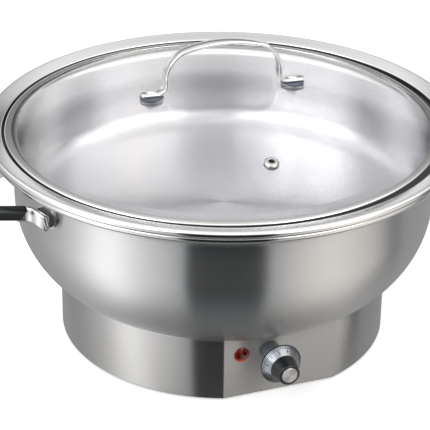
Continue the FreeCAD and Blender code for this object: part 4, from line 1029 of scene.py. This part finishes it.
class CHAFER_OT_stage(bpy.types.Operator):
    """Sets up the floor, the studio light and the camera"""
    bl_idname = "chafer.stage"
    bl_label = "Stage"

    def execute(self, context):
        scene = context.scene
        scene.view_settings.view_transform = "Standard"
        self.camera(scene)
        self.world(scene)
        self.floor()
        self.lamps()
        return {"FINISHED"}

    def camera(self, scene):
        lens = bpy.data.cameras.new("Camera")
        lens.sensor_width, lens.lens = SENSOR, FOCAL
        lens.clip_start, lens.clip_end = 0.05, 50
        turn = Matrix((CAMERA_RIGHT, CAMERA_UP, CAMERA_RIGHT.cross(CAMERA_UP))).transposed()
        scene.camera = linked("Camera", lens)
        scene.camera.matrix_world = Matrix.Translation(CAMERA_PLACE) @ turn.to_4x4()

    def world(self, scene):
        """White all round for the camera and through clear glass; metal and glass mirror the same white
        with the studio's banks and flags in it."""
        world = bpy.data.worlds.new("Studio")
        world.use_nodes = True
        tree = world.node_tree
        tree.nodes.clear()
        way = add(tree, "ShaderNodeTexCoord").outputs["Generated"]
        height = maths(tree, "ARCSINE", add(tree, "ShaderNodeSeparateXYZ", {"Vector": way}).outputs["Z"])
        level = add(tree, "ShaderNodeVectorMath", {0: way, 1: (1, 1, 0)}, operation="MULTIPLY")
        heading = add(tree, "ShaderNodeVectorMath", {0: level}, operation="NORMALIZE")

        def patch(azimuth, half_width, soft, elevation, half_height):
            """Soft-edged patch, 1 in its middle and 0 outside."""
            turn = radians(azimuth)
            facing = add(tree, "ShaderNodeVectorMath", {0: heading, 1: (cos(turn), sin(turn), 0)},
                         operation="DOT_PRODUCT").outputs["Value"]
            aside = maths(tree, "ARCCOSINE", maths(tree, "MINIMUM", facing, 0.99999))
            above = maths(tree, "ABSOLUTE", maths(tree, "SUBTRACT", height, radians(elevation)))
            sides = (aside, half_width, half_width * soft), (above, half_height, BANK_EDGE)
            return maths(tree, "MULTIPLY", *(
                spread(tree, value, 1, 0, radians(reach - edge), radians(reach),
                       interpolation_type="SMOOTHSTEP") for value, reach, edge in sides))

        share = DULL_SHARE
        for *where, gain in LIGHT_BANKS:
            share = maths(tree, "MULTIPLY_ADD", patch(*where), gain, share)
        for *where, loss in DARK_FLAGS:
            share = maths(tree, "MULTIPLY", share, maths(tree, "MULTIPLY_ADD", patch(*where), -loss, 1.0))
        rays = add(tree, "ShaderNodeLightPath").outputs
        mirrored = maths(tree, "MAXIMUM", rays["Is Glossy Ray"],
                         maths(tree, "MINIMUM", rays["Glossy Depth"], 1.0))
        through = maths(tree, "MULTIPLY", rays["Is Transmission Ray"],
                        maths(tree, "SUBTRACT", 1.0, mirrored))
        plain = maths(tree, "MAXIMUM", rays["Is Camera Ray"], through)
        studio = maths(tree, "MULTIPLY", maths(tree, "SUBTRACT", 1.0, plain), share)
        strength = add(tree, "ShaderNodeMix", {
            "Factor": maths(tree, "MAXIMUM", plain, mirrored), "A": MATT_SHARE,
            "B": maths(tree, "ADD", plain, studio)})
        warm, cool = (maths(tree, "MULTIPLY", patch(*where), mirrored) for where in (WARM_PATCH, COOL_PATCH))
        tint = shade_between(tree, cool, shade_between(tree, warm, (1, 1, 1), WARM_TINT), COOL_TINT)
        white = add(tree, "ShaderNodeBackground", {"Color": tint, "Strength": strength})
        add(tree, "ShaderNodeOutputWorld", {"Surface": white})
        scene.world = world

    def floor(self):
        """White paper that glows a little, so that it stays white, and keeps the shadow."""
        mesh = bpy.data.meshes.new("Floor")
        corners = [(x * FLOOR_HALF, y * FLOOR_HALF, 0) for x, y in ((-1, -1), (1, -1), (1, 1), (-1, 1))]
        mesh.from_pydata(corners, [], [(0, 1, 2, 3)])
        floor = linked("Floor", mesh)
        tree, place = blank_material("White paper backdrop")
        rays = add(tree, "ShaderNodeLightPath").outputs
        seen = maths(tree, "MAXIMUM", rays["Is Camera Ray"],
                     maths(tree, "MAXIMUM", rays["Is Transmission Ray"], rays["Is Glossy Ray"]))
        matt = add(tree, "ShaderNodeBsdfDiffuse", {
            "Color": shade_between(tree, cloud(tree, place, 40 * MM), srgb("F4F4F4"), srgb("FAFAFA"))})
        glow = add(tree, "ShaderNodeEmission", {"Strength": maths(tree, "MULTIPLY", seen, FLOOR_GLOW)})
        close_material(tree, add(tree, "ShaderNodeAddShader", {0: matt, 1: glow}))
        mesh.materials.append(material("White paper backdrop"))
        floor.visible_glossy = False

    def lamps(self):
        """Two soft lamps that shape the matt pieces, kept out of the steel's reflections."""
        for name, place, width, power in LAMPS:
            data = bpy.data.lights.new(name, "AREA")
            data.size, data.energy = width, power
            lamp = linked(name, data)
            lamp.location = place
            lamp.rotation_euler = (DISH_MIDDLE - Vector(place)).to_track_quat("-Z", "Y").to_euler()
            lamp.visible_glossy = False


OPERATORS = (CHAFER_OT_finishes, CHAFER_OT_base, CHAFER_OT_bowl, CHAFER_OT_pan, CHAFER_OT_lid,
             CHAFER_OT_strap, CHAFER_OT_handles, CHAFER_OT_knob, CHAFER_OT_lamp, CHAFER_OT_fittings,
             CHAFER_OT_stage)


class CHAFER_PT_panel(bpy.types.Panel):
    """Lists the dish's pieces and their sizes"""
    bl_idname = "CHAFER_PT_panel"
    bl_label = "Chafing dish"
    bl_space_type = "VIEW_3D"
    bl_region_type = "UI"
    bl_category = "Chafing dish"

    def draw(self, context):
        for operator in OPERATORS:
            self.layout.operator(operator.bl_idname)
        for name, group in GROUPS.items():
            box = self.layout.box()
            box.label(text=group.__name__)
            for key in group.__annotations__:
                box.prop(getattr(context.scene, name), key)


def register():
    for item in tuple(GROUPS.values()) + OPERATORS + (CHAFER_PT_panel,):
        bpy.utils.register_class(item)
    for name, group in GROUPS.items():
        setattr(bpy.types.Scene, name, bpy.props.PointerProperty(type=group))


def unregister():
    for name in GROUPS:
        delattr(bpy.types.Scene, name)
    for item in reversed(tuple(GROUPS.values()) + OPERATORS + (CHAFER_PT_panel,)):
        bpy.utils.unregister_class(item)


def main():
    register()
    for operator in OPERATORS:
        space, name = operator.bl_idname.split(".")
        getattr(getattr(bpy.ops, space), name)()


if __name__ == "__main__":
    main()
